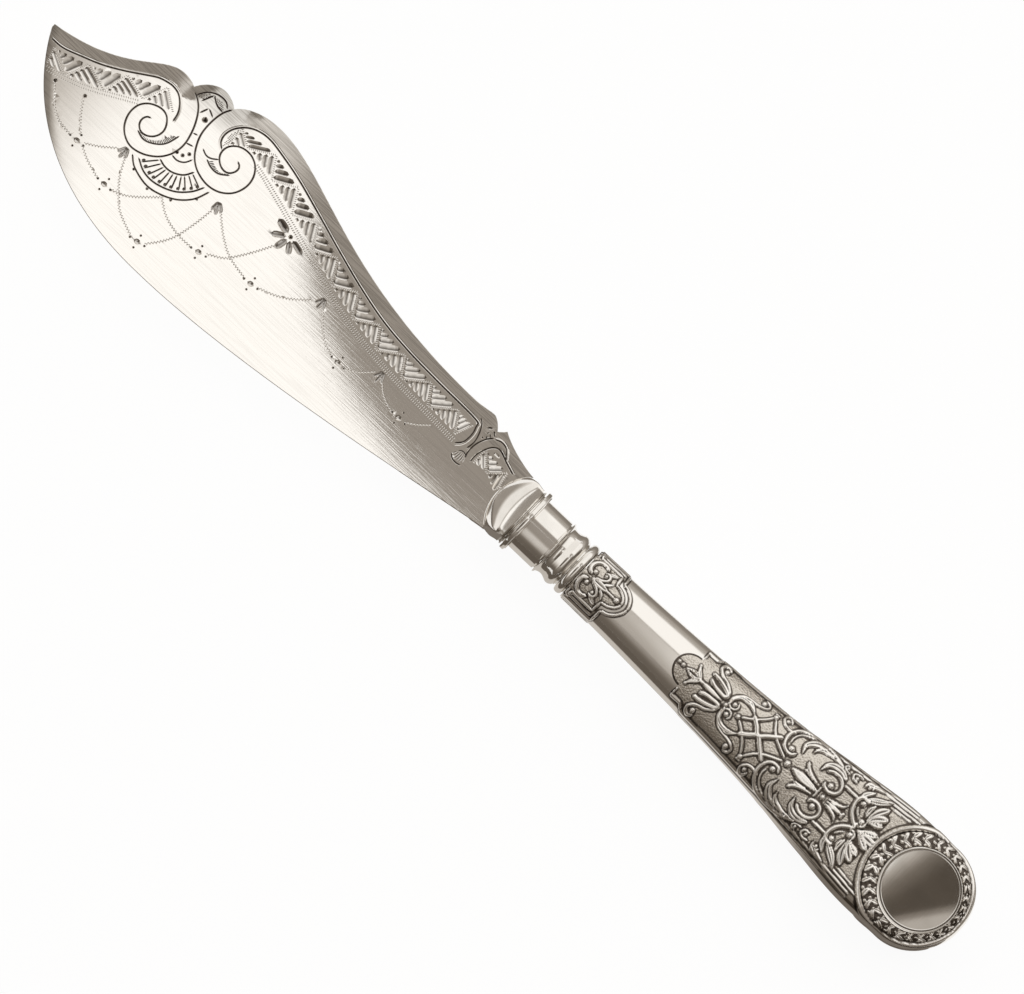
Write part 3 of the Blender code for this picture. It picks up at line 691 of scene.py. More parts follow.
def tassel(centre, slope=0.0):
    """An oval lying on the festoon, between four dots."""
    centre = np.array(centre, float)
    along = np.array([1.0, slope]) / math.hypot(1.0, slope)
    side = np.array([-along[1], along[0]])
    gouge([centre - along * OVAL_REACH, centre + along * OVAL_REACH], OVAL_HALF, steep=0.55, stain_and_shade=0.35)
    for way in (along * DOT_ALONG, -along * DOT_ALONG, side * DOT_ASIDE, -side * DOT_ASIDE):
        pit(centre + way, DOT_RADIUS)


def sprig(foot, heading):
    """Three darts spreading from one point, the outer ones shorter."""
    foot = np.array(foot, float)
    for turn in (-DART_SPREAD, 0.0, DART_SPREAD):
        way = np.array([math.cos(heading + turn), math.sin(heading + turn)])
        length = DART_LENGTH - 6 * abs(turn)
        gouge([foot + way, foot + way * length], DART_HALF, steep=0.55, stain_and_shade=0.5)


FESTOONS = [
    [(-703, -9), (-690, -24), (-675, -34), (-656, -37.5)],
    [(-670, -3), (-660, -17), (-648, -30)],
    [(-637, -33), (-625, -25.5), (-612, -15)],
    [(-638, -37.5), (-625, -44), (-606, -50)],
    [(-587, -49), (-578, -46.5), (-565, -38), (-548, -22)],
    [(-599, -17), (-590, -34), (-578, -48), (-565, -59.5), (-542, -69)],
    [(-524, -64), (-515, -52), (-508, -38), (-503, -15), (-500, 8)],
    [(-545, -20), (-530, -30), (-510, -35.5), (-491, -36)],
    [(-472, -29), (-458, -20.5), (-450, -10), (-440, 6), (-431.5, 22)],
    [(-492, 10), (-482, 1), (-470, -8), (-455, -16), (-431, -21)],
    [(-412, -18.5), (-397, -13), (-383, -5), (-367, 8.5)],
    [(-350, 9), (-340, -2), (-328, -12), (-313, -17)],
    [(-295, -16.5), (-283, -11), (-272, 0)],
    [(-258, -2), (-250, -9), (-240, -14), (-231, -16)],
    [(-213, -14), (-204, -8), (-195, 0)],
]
for festoon in FESTOONS:
    cord(festoon)
TASSELS = [(-646, -37, 0.05), (-596, -50, 0.0), (-532.5, -69, 0.2), (-481, -34, 0.2), (-421.5, -21, 0.1)]
TASSELS += [(-304, -18, 0.0), (-222, -16, 0.0)]
for s, t, slope in TASSELS:
    tassel((s, t), slope)
sprig((-604, -6), -1.57)
sprig((-501, 18), -1.15)
sprig((-357, 21), -1.57)
sprig((-264, 8), -1.57)
pit((-671, 1), 2.4)
pit((-703, -8), 2.2)

FLOWER = (-425.0, 41.0)
PETALS = [((-445, 46), 3.6), ((-441, 31), 3.0), ((-429, 23), 3.1), ((-415, 27), 2.8), ((-406, 36), 2.8)]
PETAL_SHARES, PETAL_SWELL = (0.22, 0.6, 1.08), 1.2
pit(FLOWER, 2.6)
for tip, half in PETALS:
    away = np.array(tip) - FLOWER
    gouge([FLOWER + away * share for share in PETAL_SHARES], half * PETAL_SWELL, steep=0.5, stain_and_shade=0.55)

# %% Ornament at the heel
line_cut([(-163, 42), (-157, 37), (-152.5, 28), (-150.5, 18), (-152, 8)], 1.05)
line_cut([(-152, 38), (-145.5, 43)], 1.25)
line_cut([(-144, 41.5), (-138.5, 36)], 1.25)
line_cut([(-149, 33.5), (-145, 37)], 1.1)
line_cut([(-145, 37), (-141, 32.5)], 1.1)
line_cut([(-138, 36), (-144, 29), (-148, 18), (-148.5, 8), (-146, 0)], 1.15)
ARCH = [(-138, 35), (-130, 38), (-122, 36), (-116, 29), (-113, 25)]
HEEL_EDGE = [(-140, 1), (-140.5, 10), (-138, 20), (-133, 28), (-126, 31), (-112, 26), (-99, 21.5)]
line_cut(ARCH, 1.05)
line_cut(HEEL_EDGE, 1.15)
shine_beside(ARCH)
shine_beside(HEEL_EDGE[4:])
line_cut([(-160, -4), (-156, -8), (-150, -9), (-144, -7.5)], 1.05)
line_cut([(-157, 1), (-152, 4.5), (-146, 2.5)], 0.8)
for share in np.linspace(0.0, 1.0, 6):
    bulge = math.sin(math.pi * share)
    ray_top, ray_foot = (-156 + 9 * share, 1 + 2 * bulge), (-159 + 14 * share, -4.5 - 3 * bulge)
    line_cut([ray_top, ray_foot], 0.7, steep=0.5, stain_and_shade=0.55)
for dot in [(-148, 28), (-145, 31)]:
    pit(dot, 1.3)
herringbone([(-137, 3), (-137, 22), (-121, 5), (-105, 20), (-100, -6)], pitch=4.6)
gouge([(-129, 25), (-121, 25)], 1.9)
print(len(cuts), "cuts in all")

# %% [markdown]
# ## The engraved face
# All cuts and the outline go into one flat triangulation that keeps every groove's lines as edges. Then
# each point gets its depth from the nearest cut, so crossings come out right. Towards the back the face
# also falls away in a narrow bevel, which makes the border look grey; by the volutes it stays flat and
# the grey there is painted shade. The bevel, the edge and the plain rear close the solid.

# %% Blade mesh
RIM_WIDTH, RIM_DROP = 14.5, 0.9
BACK_GUIDES, EDGE_GUIDES = (3.0, 6.5, 10.5, RIM_WIDTH, 18.0), (2.0, 4.0, 7.0, 11.0)
GUIDE_SLACK = 0.3
VOLUTE_ZONE, VOLUTE_FADE = (-588.0, -532.0), 14.0
VOLUTE_CLEAR, VOLUTE_REACH = 3.0, 36.0
WEAR_WIDTH, WEAR_DROP, WEAR_END = 9.0, 0.45, -590.0
POINT_SPACING = 5.0
EDGE_MARGIN, CUT_MARGIN = 0.5, 1.1
DOT_SIDES, ROUND_SHARES = 7, (-1.0, -0.6, 0.0, 0.6, 1.0)
KEEP_INSIDE, WELD_GAP = 1, 0.01
LAND, BEVEL, BEVEL_RUN_OUT = 0.5 * MM, 8.0, 32.0
tip_s = outline[:, 0].min()


def distance_to(points, path):
    """How far each point lies from a path."""
    return nearest(points, path, np.ones(len(path)))[0]


def inside(points, polygon):
    """True where a ray to the right crosses the polygon an odd number of times."""
    odd = np.zeros(len(points), bool)
    for (x0, y0), (x1, y1) in zip(polygon, np.roll(polygon, -1, axis=0)):
        if y0 != y1:
            crosses = (y0 > points[:, 1]) != (y1 > points[:, 1])
            odd ^= crosses & (points[:, 0] < x0 + (points[:, 1] - y0) * (x1 - x0) / (y1 - y0))
    return odd


def inward_of(ring):
    """The unit vector towards the inside of a ring that runs clockwise."""
    along = np.roll(ring, -1, axis=0) - np.roll(ring, 1, axis=0)
    along /= np.linalg.norm(along, axis=1)[:, None]
    return np.column_stack([along[:, 1], -along[:, 0]])


def cut_depth(points):
    """How deep the cuts go at each point: a V or a round bottom, in step with the cut's half width.

    The darkening of each cut is returned too, dirt and painted shade, full in its middle and gone at its
    edge.
    """
    depth, dirt_and_shade = np.zeros(len(points)), np.zeros(len(points))
    for path, half, steep, power, stain_and_shade, deep in cuts:
        reach = half.max()
        near = (points > path.min(axis=0) - reach) & (points < path.max(axis=0) + reach)
        near = np.flatnonzero(near.all(axis=1))
        gap, width, left = nearest(points[near], path, half)
        from_deep = np.clip(left * gap / np.maximum(width, TINY), -1.0, 1.0) - deep
        share = np.abs(from_deep) / (1 - np.sign(from_deep) * deep)
        depth[near] = np.maximum(depth[near], steep * width * (1 - share**power))
        settled = 1 - share**2 if deep == 0 else (1 - share) ** 1.5
        dirt_and_shade[near] = np.maximum(dirt_and_shade[near], stain_and_shade * settled * (width > TINY))
    return depth, dirt_and_shade


def cut_lines():
    """Points and edges of the cuts: lines at set shares of the half width, and rings for the dots."""
    points, edges, count = [], [], 0
    dot_steps = np.arange(DOT_SIDES)
    turn = dot_steps * math.tau / DOT_SIDES
    for path, half, _, power, _, deep in cuts:
        if np.allclose(path[0], path[-1]) and len(path) == 2:
            ring = path[0] + half[0] * np.column_stack([np.cos(turn), np.sin(turn)])
            points += [ring, path[0][None]]
            edges.append(count + np.column_stack([dot_steps, (dot_steps + 1) % DOT_SIDES]))
            count += DOT_SIDES + 1
            continue
        shares = (-1.0, deep, 1.0) if power == V_CUT else ROUND_SHARES
        for share in shares:
            points.append(path + share * half[:, None] * side_of(path))
            steps = np.arange(len(path) - 1)
            edges.append(count + np.column_stack([steps, steps + 1]))
            count += len(path)
    return np.concatenate(points), np.concatenate(edges)


def trim_cuts():
    """Narrows each cut near the outline, and drops the points that would leave the face."""
    places = np.concatenate([cut[0] for cut in cuts])
    room = distance_to(places, np.vstack([outline, outline[:1]])) - CUT_MARGIN
    room[~inside(places, outline)] = -1.0
    ends = np.cumsum([len(cut[0]) for cut in cuts])[:-1]
    kept = []
    for (path, half, *shape), space in zip(cuts, np.split(room, ends)):
        good = space > 0
        if good.sum() >= 2:
            kept.append((path[good], np.minimum(half, space)[good], *shape))
    return kept


def scattered_points():
    """A plain grid of points over the face, which keeps its triangles small."""
    low, high = outline.min(axis=0), outline.max(axis=0)
    s, t = np.meshgrid(*(np.arange(low[k], high[k], POINT_SPACING) for k in (0, 1)))
    grid = np.column_stack([s.ravel(), t.ravel()])
    room = distance_to(grid, np.vstack([outline, outline[:1]]))
    return grid[inside(grid, outline) & (room > POINT_SPACING / 2)]


def ramp(value, low, high):
    """0 below low, 1 above high, and a smooth step between."""
    share = np.clip((value - low) / (high - low), 0.0, 1.0)
    return share * share * (3 - 2 * share)


def engraved_face():
    """The front as triangles: drawing points, layers of depth, of dirt and painted shade, and of painted
    grey shade and wear, the faces and the rim.
    """
    ring = outline + inward_of(outline) * EDGE_MARGIN
    points, edges = cut_lines()
    back_inward = inward_of(outline)[: len(back_line)]
    edge_inward = inward_of(outline)[-len(edge_line) :]
    guides = []
    sides = [(back_line, back_inward, BACK_GUIDES), (edge_line, edge_inward, EDGE_GUIDES)]
    for line, inward, ways in sides:
        for away in ways:
            row = line + inward * away
            guides.append(row[distance_to(row, line) > away - GUIDE_SLACK])
    steps = np.arange(len(ring))
    rim_edges = np.column_stack([steps, (steps + 1) % len(ring)])
    all_points = np.concatenate([ring, points, *guides, scattered_points()])
    all_edges = np.concatenate([rim_edges, edges + len(ring)])
    made = delaunay_2d_cdt(all_points.tolist(), all_edges.tolist(), [], KEEP_INSIDE, WELD_GAP)
    flat = np.array([tuple(vert) for vert in made[0]])
    triangles = np.array([face for face in made[2] if len(face) == 3])
    triangles = triangles[inside(flat[triangles].mean(axis=1), ring)]
    away, from_edge = distance_to(flat, back_line), distance_to(flat, edge_line)
    s = flat[:, 0]
    zone = ramp(s, VOLUTE_ZONE[0] - VOLUTE_FADE, VOLUTE_ZONE[0] + VOLUTE_FADE)
    zone *= 1 - ramp(s, VOLUTE_ZONE[1] - VOLUTE_FADE, VOLUTE_ZONE[1] + VOLUTE_FADE)
    wear = np.clip(1 - from_edge / WEAR_WIDTH, 0.0, 1.0) * (1 - ramp(s, tip_s, WEAR_END))
    layers = dict(zip(("depth", "dirt_and_shade"), cut_depth(flat)))
    layers["rim"] = np.clip(1 - away / RIM_WIDTH, 0.0, 1.0)
    layers["drop"] = RIM_DROP * layers["rim"] * (1 - zone) + WEAR_DROP * wear**2
    layers["zone"] = zone
    # Painted grey shade near the back by the volutes, where the face doesn't fall away in a bevel, and wear
    # along the edge near the tip.
    layers["fade"] = np.maximum(zone * (1 - ramp(away, VOLUTE_CLEAR, VOLUTE_REACH)), wear)
    first_of = {}
    for place, origins in enumerate(made[3]):
        for origin in origins:
            first_of[origin] = place
    ring_places = np.array([first_of[k] for k in range(len(ring))])
    return flat, layers, triangles, ring_places


cuts = trim_cuts()
flat, face_layers, triangles, ring_places = engraved_face()
print("engraved face of", len(flat), "points and", len(triangles), "triangles")


def blade_solid():
    """The engraved front, a small edge round, the wall, the rear bevel and the plain rear."""
    front_z = FRONT_Z - (face_layers["depth"] + face_layers["drop"]) * UNIT
    ring = outline
    inward = inward_of(ring)
    on_edge = np.zeros(len(ring))
    on_edge[-len(edge_line) :] = 1.0
    from_ends = np.minimum(ring[:, 0] - ring[:, 0].min(), heel_line[:, 0].min() - ring[:, 0])
    bevel = BEVEL * on_edge * np.clip(from_ends / BEVEL_RUN_OUT, 0.0, 1.0)
    shoulder_z = front_z[ring_places] - EDGE_MARGIN * UNIT
    land_z = np.where(on_edge > 0, FRONT_Z - LAND, BACK_Z)
    under = ring + inward * bevel[:, None]
    walls = [(ring, shoulder_z), (ring, land_z), (under, np.full(len(ring), BACK_Z))]
    layers = [np.column_stack([on_plan(flat), front_z])]
    layers += [np.column_stack([on_plan(plan), z]) for plan, z in walls]
    points = np.concatenate(layers)
    size = len(ring)
    starts = len(flat) + size * np.arange(3)
    rows = [ring_places, *(start + np.arange(size) for start in starts)]
    faces = triangles.tolist()
    for upper, lower in zip(rows, rows[1:]):
        quads = [upper, np.roll(upper, -1), np.roll(lower, -1), lower]
        faces += np.stack(quads, axis=-1).tolist()
    faces.append((starts[2] + np.arange(size)).tolist())
    tail = np.zeros(3 * size)
    kept = {"tarnish_and_shade": "dirt_and_shade", "rim": "rim", "zone": "zone", "fade": "fade"}
    return points, faces, {name: np.concatenate([face_layers[made], tail]) for name, made in kept.items()}


blade_points, blade_faces, blade_layers = blade_solid()
blade = add_piece("engraved_blade", "blade", blade_points, blade_faces, sharp=9, **blade_layers)

# %% [markdown]
# ## The handle's form
# The handle was struck in two dies and soldered along its sides. Its section starts round and ends
# flat-topped, so each section is a superellipse whose half width, half depth and squareness follow
# smooth curves through a few stations. Rays through a half box spread the columns evenly over its top.

# %% Handle sections
ROUNDEL_FROM_END = 13.8 * MM
ROUNDEL_X = END_X - ROUNDEL_FROM_END
GRIP_X = MOUTH_X + 26.0 * MM
FLARE_X = END_X - 59.0 * MM
SWELL_X = END_X - 24.0 * MM
SHELL_WALL = 0.7 * MM
SEAM, SEAM_FADE = 0.03 * MM, 1.2 * MM
MOUTH_RADIUS, END_DEPTH, END_SQUARE = 7.75 * MM, 7.2 * MM, 5.0


def end_round(x, inset, square):
    """1 up to the roundel's middle, then down to 0 at the handle's end."""
    share = np.clip((x - ROUNDEL_X) / (ROUNDEL_FROM_END - inset), 0.0, 1.0)
    return (1 - share**square) ** (1 / square)


def half_width(x, inset=0.0):
    """Half the handle's width at x: a smooth curve less an inset, rounded at the end."""
    stations = [MOUTH_X, GRIP_X, FLARE_X, SWELL_X, ROUNDEL_X]
    values = np.array([MOUTH_RADIUS / MM, 8.3, 10.9, 14.75, 14.5]) * MM
    return (smooth_through(stations, values, x) - inset) * end_round(x, inset, 2.0)


def half_depth(x, inset=0.0):
    """Half the handle's depth at x, in the same way."""
    stations, values = [MOUTH_X, GRIP_X, ROUNDEL_X], [MOUTH_RADIUS, 7.8 * MM, END_DEPTH]
    return (smooth_through(stations, values, x) - inset) * end_round(x, inset, END_SQUARE)


def squareness(x):
    """The power of the superellipse at x: 2 is round, and more is squarer."""
    return smooth_through([MOUTH_X, GRIP_X, FLARE_X, ROUNDEL_X], [2.0, 2.0, 2.4, END_SQUARE], x)


def handle_top(x, y):
    """Height of the handle's plain outer surface above its seam."""
    square = squareness(x)
    share = np.clip(np.abs(y) / np.maximum(half_width(x), TINY), 0.0, 1.0)
    return half_depth(x) * (1 - share**square) ** (1 / square)


def half_section(x, inset, rays):
    """Half a superellipse at each x: each ray is cut where its two shares, raised, add up to 1."""
    ray_y, ray_z = rays
    square = squareness(x)[:, None]
    reach = (np.abs(ray_y) ** square + ray_z**square) ** (-1 / square)
    y = half_width(x, inset)[:, None] * ray_y * reach
    z = half_depth(x, inset)[:, None] * ray_z * reach
    return np.stack([np.broadcast_to(x[:, None], y.shape), y, np.maximum(z, SEAM)], axis=-1)


def drawn_x(s):
    """Metres along the server at a mark of the drawing."""
    return on_plan((s, 0.0))[0]


CARTOUCHE_END, PANEL_START, PANEL_END = 78.0, 141.0, 447.0
ORNAMENT_STEP, PLAIN_STEP, END_STEP, END_ROWS = 0.66, 3.0, 1.6, 34
marks = [
    np.arange(MOUTH_MARK, CARTOUCHE_END, ORNAMENT_STEP),
    np.arange(CARTOUCHE_END, PANEL_START, PLAIN_STEP),
    np.arange(PANEL_START, PANEL_END, ORNAMENT_STEP),
    np.arange(PANEL_END, on_drawing((ROUNDEL_X, 0.0))[0], END_STEP),
]
shaft_x = MOUTH_X + (np.concatenate(marks) - MOUTH_MARK) * UNIT
turn = np.linspace(0.0, math.pi / 2, END_ROWS)
row_x = np.concatenate([shaft_x, ROUNDEL_X + ROUNDEL_FROM_END * np.sin(turn)])
inner_x = np.concatenate([shaft_x, ROUNDEL_X + (ROUNDEL_FROM_END - SHELL_WALL) * np.sin(turn)])
outer = half_section(row_x, 0.0, half_box_rays(top=96, side=17))
row_s = on_drawing(np.column_stack([row_x, row_x * 0]))[:, 0]
plan_v = np.abs(outer[..., 1]) / UNIT
print("handle grid of", outer.shape[:2], "points")

# %% [markdown]
# ## Struck relief
# The die raised scrolls, leaves and beads over a sunk, punched ground. Relief is a height over the
# grid: the highest of many small shapes, each a rounded profile carried along a drawn path. The
# ornament is symmetrical, so it is drawn for one half, and the grid looks it up with the distance from
# the middle line.

# %% Relief helpers
relief = np.zeros(plan_v.shape)


def lift(path, half, height, profile):
    """Raises the grid along a path: profile turns the share of the half width into a share of height."""
    low, high = path[:, 0].min() - half.max(), path[:, 0].max() + half.max()
    rows = slice(np.searchsorted(row_s, low), np.searchsorted(row_s, high))
    v = plan_v[rows]
    places = np.column_stack([np.repeat(row_s[rows], v.shape[1]), v.ravel()])
    gap, width, _ = nearest(places, path, half)
    share = np.clip(gap / np.maximum(width, TINY), 0.0, 1.0)
    raised = (height * profile(share) * (gap < width)).reshape(v.shape)
    relief[rows] = np.maximum(relief[rows], raised)


def half_round(share):
    """A bar's section: half a circle."""
    return np.sqrt(1 - share**2)


def veined(share):
    """A leaf's section: round, with a crease down the middle."""
    return np.sqrt(1 - share**2) * (1 - 0.4 * np.exp(-((share / 0.2) ** 2)))


def fluted(share):
    """An acanthus leaf's section: round, with three folds."""
    return np.sqrt(1 - share**2) * (0.74 + 0.26 * np.cos(3 * math.pi * share))


BOLD_WIDTH, BOLD_HEIGHT = 1.18, 1.12


def ridge(points, half=1.6, height=0.46, taper=3.0):
    """A half-round bar with tapered ends."""
    path = curve_through(points, 1.2)
    width = BOLD_WIDTH * half * (0.35 + 0.65 * rounded_ends(path, taper))
    lift(path, width, BOLD_HEIGHT * height, half_round)


def leaf(points, half=3.0, height=0.56, profile=veined):
    """A leaf along a path: fullest before its middle, and pointed at its far end."""
    path = curve_through(points, 0.9)
    t = np.linspace(0.0, 1.0, len(path))
    lift(path, half * np.sin(math.pi * (0.08 + 0.92 * t) ** 0.75) ** 0.8 + 0.05, height, profile)


def lobe(points, half, height=0.74):
    """One lobe of a palmette: narrow at its foot, and fullest near its blunt far end."""
    path = curve_through(points, 0.9)
    t = np.linspace(0.0, 1.0, len(path))
    lift(path, half * np.sin(math.pi * (0.1 + 0.9 * t) ** 1.7) ** 0.65 + 0.05, height, veined)


def bead(centre, radius, height=0.66):
    """A round bead: a path of no length, with a half-round section."""
    lift(np.array([centre, centre], float), np.full(2, float(radius)), height, half_round)


def curl(points, eye, radius, half=1.6, height=0.5):
    """A ridge that winds round an eye, which is a bead."""
    ridge(points, half, height)
    bead(eye, radius)


# %% Cartouche at the mouth
ridge([(19, 29), (30, 29), (44, 29.3), (55.5, 29.3)], 1.2, 0.36)
ridge([(19, 26.2), (30, 26.2), (44, 26.4), (53, 26.4)], 0.8, 0.26)
ridge([(56, 29), (56.6, 24), (56.6, 17.5)], 1.3, 0.40)
ridge([(57, 17.5), (64, 15.8), (70.5, 11), (74.5, 4.5), (75.2, 0)], 1.4, 0.42, 0.5)
ridge([(22, 22.3), (36, 22.5), (50, 22.5)], 1.2, 0.38)
ridge([(50.6, 22.3), (50.8, 17), (51, 11.5)], 1.2, 0.38)
ridge([(51, 11.5), (58, 10.4), (64, 7), (67, 3), (67.6, 0)], 1.2, 0.38, 0.5)
curl([(19, 21), (19.5, 25.5), (23, 26.5), (25, 24)], (22, 24), 1.7, 1.1, 0.36)
CARTOUCHE_SCROLL = [(25, 2.6), (20.8, 5.5), (19.8, 10), (21.6, 14.8), (26, 18.4), (32, 19), (36, 16.8)]
curl(CARTOUCHE_SCROLL, (26.8, 6.8), 2.6, 1.9, 0.54)
curl([(31, 2.4), (37, 4.4), (41.3, 7.4), (42.3, 11.2), (39.6, 14.2), (36, 13.2)], (38, 10.6), 1.9, 1.4, 0.48)
leaf([(39, 13.5), (43, 16.4), (48, 17.8)], 2.6, 0.52)
leaf([(30, 0), (40, 0.6), (50, 0)], 3.6, 0.58)
leaf([(42, 3.5), (46.5, 6.5), (49.5, 11)], 1.6, 0.42)
ridge([(45, 0), (58, 0)], 1.2, 0.42)
bead((61.3, 0), 3.0)

# %% Panel: lobe, frame and tulip
PANEL_EDGE = [(182, 32.3), (188, 33.6), (220, 35), (260, 37.6)]
PANEL_EDGE += [(300, 40.6), (350, 44.6), (400, 49), (430, 52)]
ridge([(165.2, 20), (165.2, 27.5)], 0.9, 0.30)
ridge([(164.5, 28), (178, 28)], 1.5, 0.46, 1.0)
ridge([(177, 28), (179.5, 30), (182, 32.3)], 1.1, 0.36, 1.0)
ridge(PANEL_EDGE, 1.3, 0.28)
ridge(np.array(PANEL_EDGE) + (0, 3.8), 1.2, 0.22)
bead((148.6, 0), 2.1)
bead((153.6, 0), 2.3)
leaf([(176, 0.8), (167, 2.6), (158, 0)], 2.0, 0.54)
leaf([(176, 1.5), (170.5, 6), (167, 12)], 2.3, 0.56)
bead((167.3, 11.8), 1.8, 0.5)
ridge([(174, 0), (183, 0)], 1.7, 0.5, 1.0)
leaf([(181, 0), (192, 0), (207, 0)], 3.0, 0.62, half_round)
TULIP_PETAL = [(182.5, 15), (190, 14.4), (197, 12.8), (203.5, 10.4), (207.3, 7.4)]
TULIP_PETAL += [(205, 5), (198, 5.2), (190, 6.2), (184.5, 8.6)]
ridge(TULIP_PETAL, 2.0, 0.6)
bead((183.6, 15), 2.5, 0.6)
bead((185.4, 8.4), 2.2, 0.56)
VOLUTE_STEM = [(208, 10.5), (200, 16.6), (192, 19), (187, 22)]
VOLUTE_STEM += [(184.6, 25.8), (186.4, 29.4), (191, 30.6), (194.8, 28)]
curl(VOLUTE_STEM, (191.6, 25.8), 2.7, 1.6, 0.54)
bead((211.8, 0), 2.4)

# %% Panel: scrolls and strapwork
STRAP_SCROLL = [(213, 9), (215, 14.3), (219.5, 19.2), (227, 21.6), (236, 22.6)]
STRAP_SCROLL += [(243, 24.7), (246.5, 28.2), (245, 31.6), (240, 32.6)]
ridge(STRAP_SCROLL, 1.2, 0.48)
bead((240, 28.9), 2.8)
STRAP_LEAF = [(213.2, 3.4), (213.2, 9.5), (216.3, 14.6), (222, 17.4), (229, 17.4), (236, 15.2), (242, 11.4)]
leaf(STRAP_LEAF, 2.5, 0.64)
leaf([(226, 19), (231, 18.6), (239, 14.4)], 2.2, 0.62)
ridge([(214, 3.2), (217, 1.4), (221.5, 2.6), (223.4, 6.2), (221.5, 9.8)], 1.1, 0.46)
bead((218.6, 6.5), 2.7)
bead((229, 0), 2.7)
ridge([(232, 2), (239, 6.5), (246.5, 12.5), (252.5, 19), (256, 24.5)], 1.3, 0.5)
ridge([(259.5, 24), (265, 16.5), (272, 10.6), (281, 6), (291, 1.8)], 1.3, 0.5)
ridge([(240, 12.2), (248.5, 6.2), (256.2, 0), (264, 6.2), (276, 16)], 2.3, 0.62, 1.5)
bead((257.6, 26.8), 2.8)
ridge([(254.8, 29.4), (260.6, 29.4)], 1.0, 0.42, 1.0)
bead((297, 0), 3.5)
SMALL_SCROLL = [(283, 28.4), (276, 26.6), (269, 27.6), (265, 32), (267, 36.4), (271.6, 36.8), (274, 33.4)]
curl(SMALL_SCROLL, (269.6, 32.4), 2.4, 1.4, 0.48)

# %% Panel: acanthus scrolls and bellflower
BIG_SCROLL = [(296.5, 13.5), (293.4, 9.4), (287, 8.7), (281.5, 12), (278.6, 19), (279.2, 26)]
BIG_SCROLL += [(283.3, 32.6), (291, 37.6), (303, 40.4), (318, 41.2), (330, 39.6), (341, 36.2)]
ridge(BIG_SCROLL, 1.7, 0.6)
ridge([(284.6, 18), (284.8, 25.5), (289.4, 32.4), (297.5, 36.8), (309, 38.8)], 0.9, 0.46)
bead((289.8, 13.9), 3.4, 0.72)
leaf([(316, 38.6), (307, 36.6), (301, 31.6), (298.4, 26), (300.8, 17.5)], 3.9, 0.68)
leaf([(326, 37.6), (316, 35.6), (310, 31), (308.6, 25)], 2.7, 0.62)
leaf([(350, 29.5), (342, 32.4), (334, 31.8), (327.6, 27), (325.2, 18)], 4.0, 0.68)
ridge([(338, 36.2), (330, 36.8), (321, 36)], 0.8, 0.44)
RIGHT_SCROLL = [(331, 23), (338, 26.8), (346, 26.5), (351.6, 22.5), (354, 16.5)]
RIGHT_SCROLL += [(352, 11), (345.5, 8), (338.6, 9.4), (337, 13)]
ridge(RIGHT_SCROLL, 1.7, 0.6)
ridge([(334, 33.6), (342, 33), (350, 28)], 0.8, 0.46)
bead((343.8, 13.7), 3.5, 0.72)
leaf([(304.5, 0), (315, 1.6), (326, 1.6), (338, 0.6)], 3.2, 0.68, half_round)
leaf([(312, 16), (317, 10.8), (325, 7.6), (337, 5.4)], 2.3, 0.64, half_round)
bead((313.2, 14.6), 2.3, 0.62)
leaf([(314, 8.2), (320.5, 7.2), (327.5, 5)], 1.7, 0.56, half_round)
ridge([(338, 0), (337.6, 6.4)], 1.2, 0.56, 1.0)
bead((345.3, 0), 2.8)
ridge([(353.5, 24.2), (371, 24.2)], 1.4, 0.5, 1.0)

# %% Panel: mantling and palmette at the end
leaf([(352.5, 0), (363, 0.4), (374, 0)], 2.3, 0.62, half_round)
leaf([(352.5, 3), (361, 4.5), (367, 7), (370.4, 12)], 2.2, 0.62, half_round)
bead((372, 1.6), 1.9, 0.56)
END_SCROLL = [(389.5, 0.6), (384, 3.5), (377.5, 9), (373.8, 15.5), (372.6, 22)]
END_SCROLL += [(374.4, 27), (379, 28.8), (384.4, 27.8)]
curl(END_SCROLL, (380, 23.9), 3.1, 1.9, 0.62)
ridge([(378, 18), (380.8, 13.6), (384.6, 10)], 0.9, 0.46)
curl([(386.5, 4.6), (391.6, 3.9), (395.4, 7), (394.8, 11.6)], (391, 8.8), 3.4, 1.2, 0.52)
lobe([(393.5, 0), (405, 0.2), (419.5, 0)], 5.0, 0.80)
lobe([(394.5, 1), (403, 4.5), (413.5, 9.2)], 4.4)
lobe([(394.5, 12.5), (402, 16.8), (410.5, 19.4)], 4.2)
lobe([(393.5, 13.5), (401, 22.5), (410, 28.6)], 4.8, 0.78)
lobe([(392.5, 15), (397, 27), (404, 37.6)], 4.6)
leaf([(390.2, 17), (389, 24), (391, 31.5)], 2.9, 0.66)
leaf([(381.5, 30.5), (390.5, 36), (398, 41.6), (402.6, 46)], 4.2, 0.68, fluted)
leaf([(373.6, 28.8), (377.4, 35), (382.4, 40.6)], 3.0, 0.62)
leaf([(370.6, 41.2), (380, 45.2), (389.4, 46.6)], 2.8, 0.56)
ridge([(396.5, 40), (399, 44.2), (415, 46.2), (436, 48.4)], 1.2, 0.32)
ridge([(405, 40.8), (414, 42), (427, 43.4)], 1.0, 0.26)
curl([(361.4, 34.6), (355.4, 35.2), (353.4, 39.4), (358, 42), (364, 41.4)], (358.4, 37.8), 2.2, 1.2, 0.48)
curl([(369.4, 37), (370.4, 43), (375.4, 44.6), (378, 40)], (374, 39.8), 2.0, 1.2, 0.46)
EDGE_SCROLL = [(350.6, 36.2), (345.6, 36.4), (341.6, 38.8), (343.4, 41.6), (347.4, 41.4)]
curl(EDGE_SCROLL, (345.4, 39.2), 1.7, 1.0, 0.44)
print("relief up to", relief.max(), "mm")

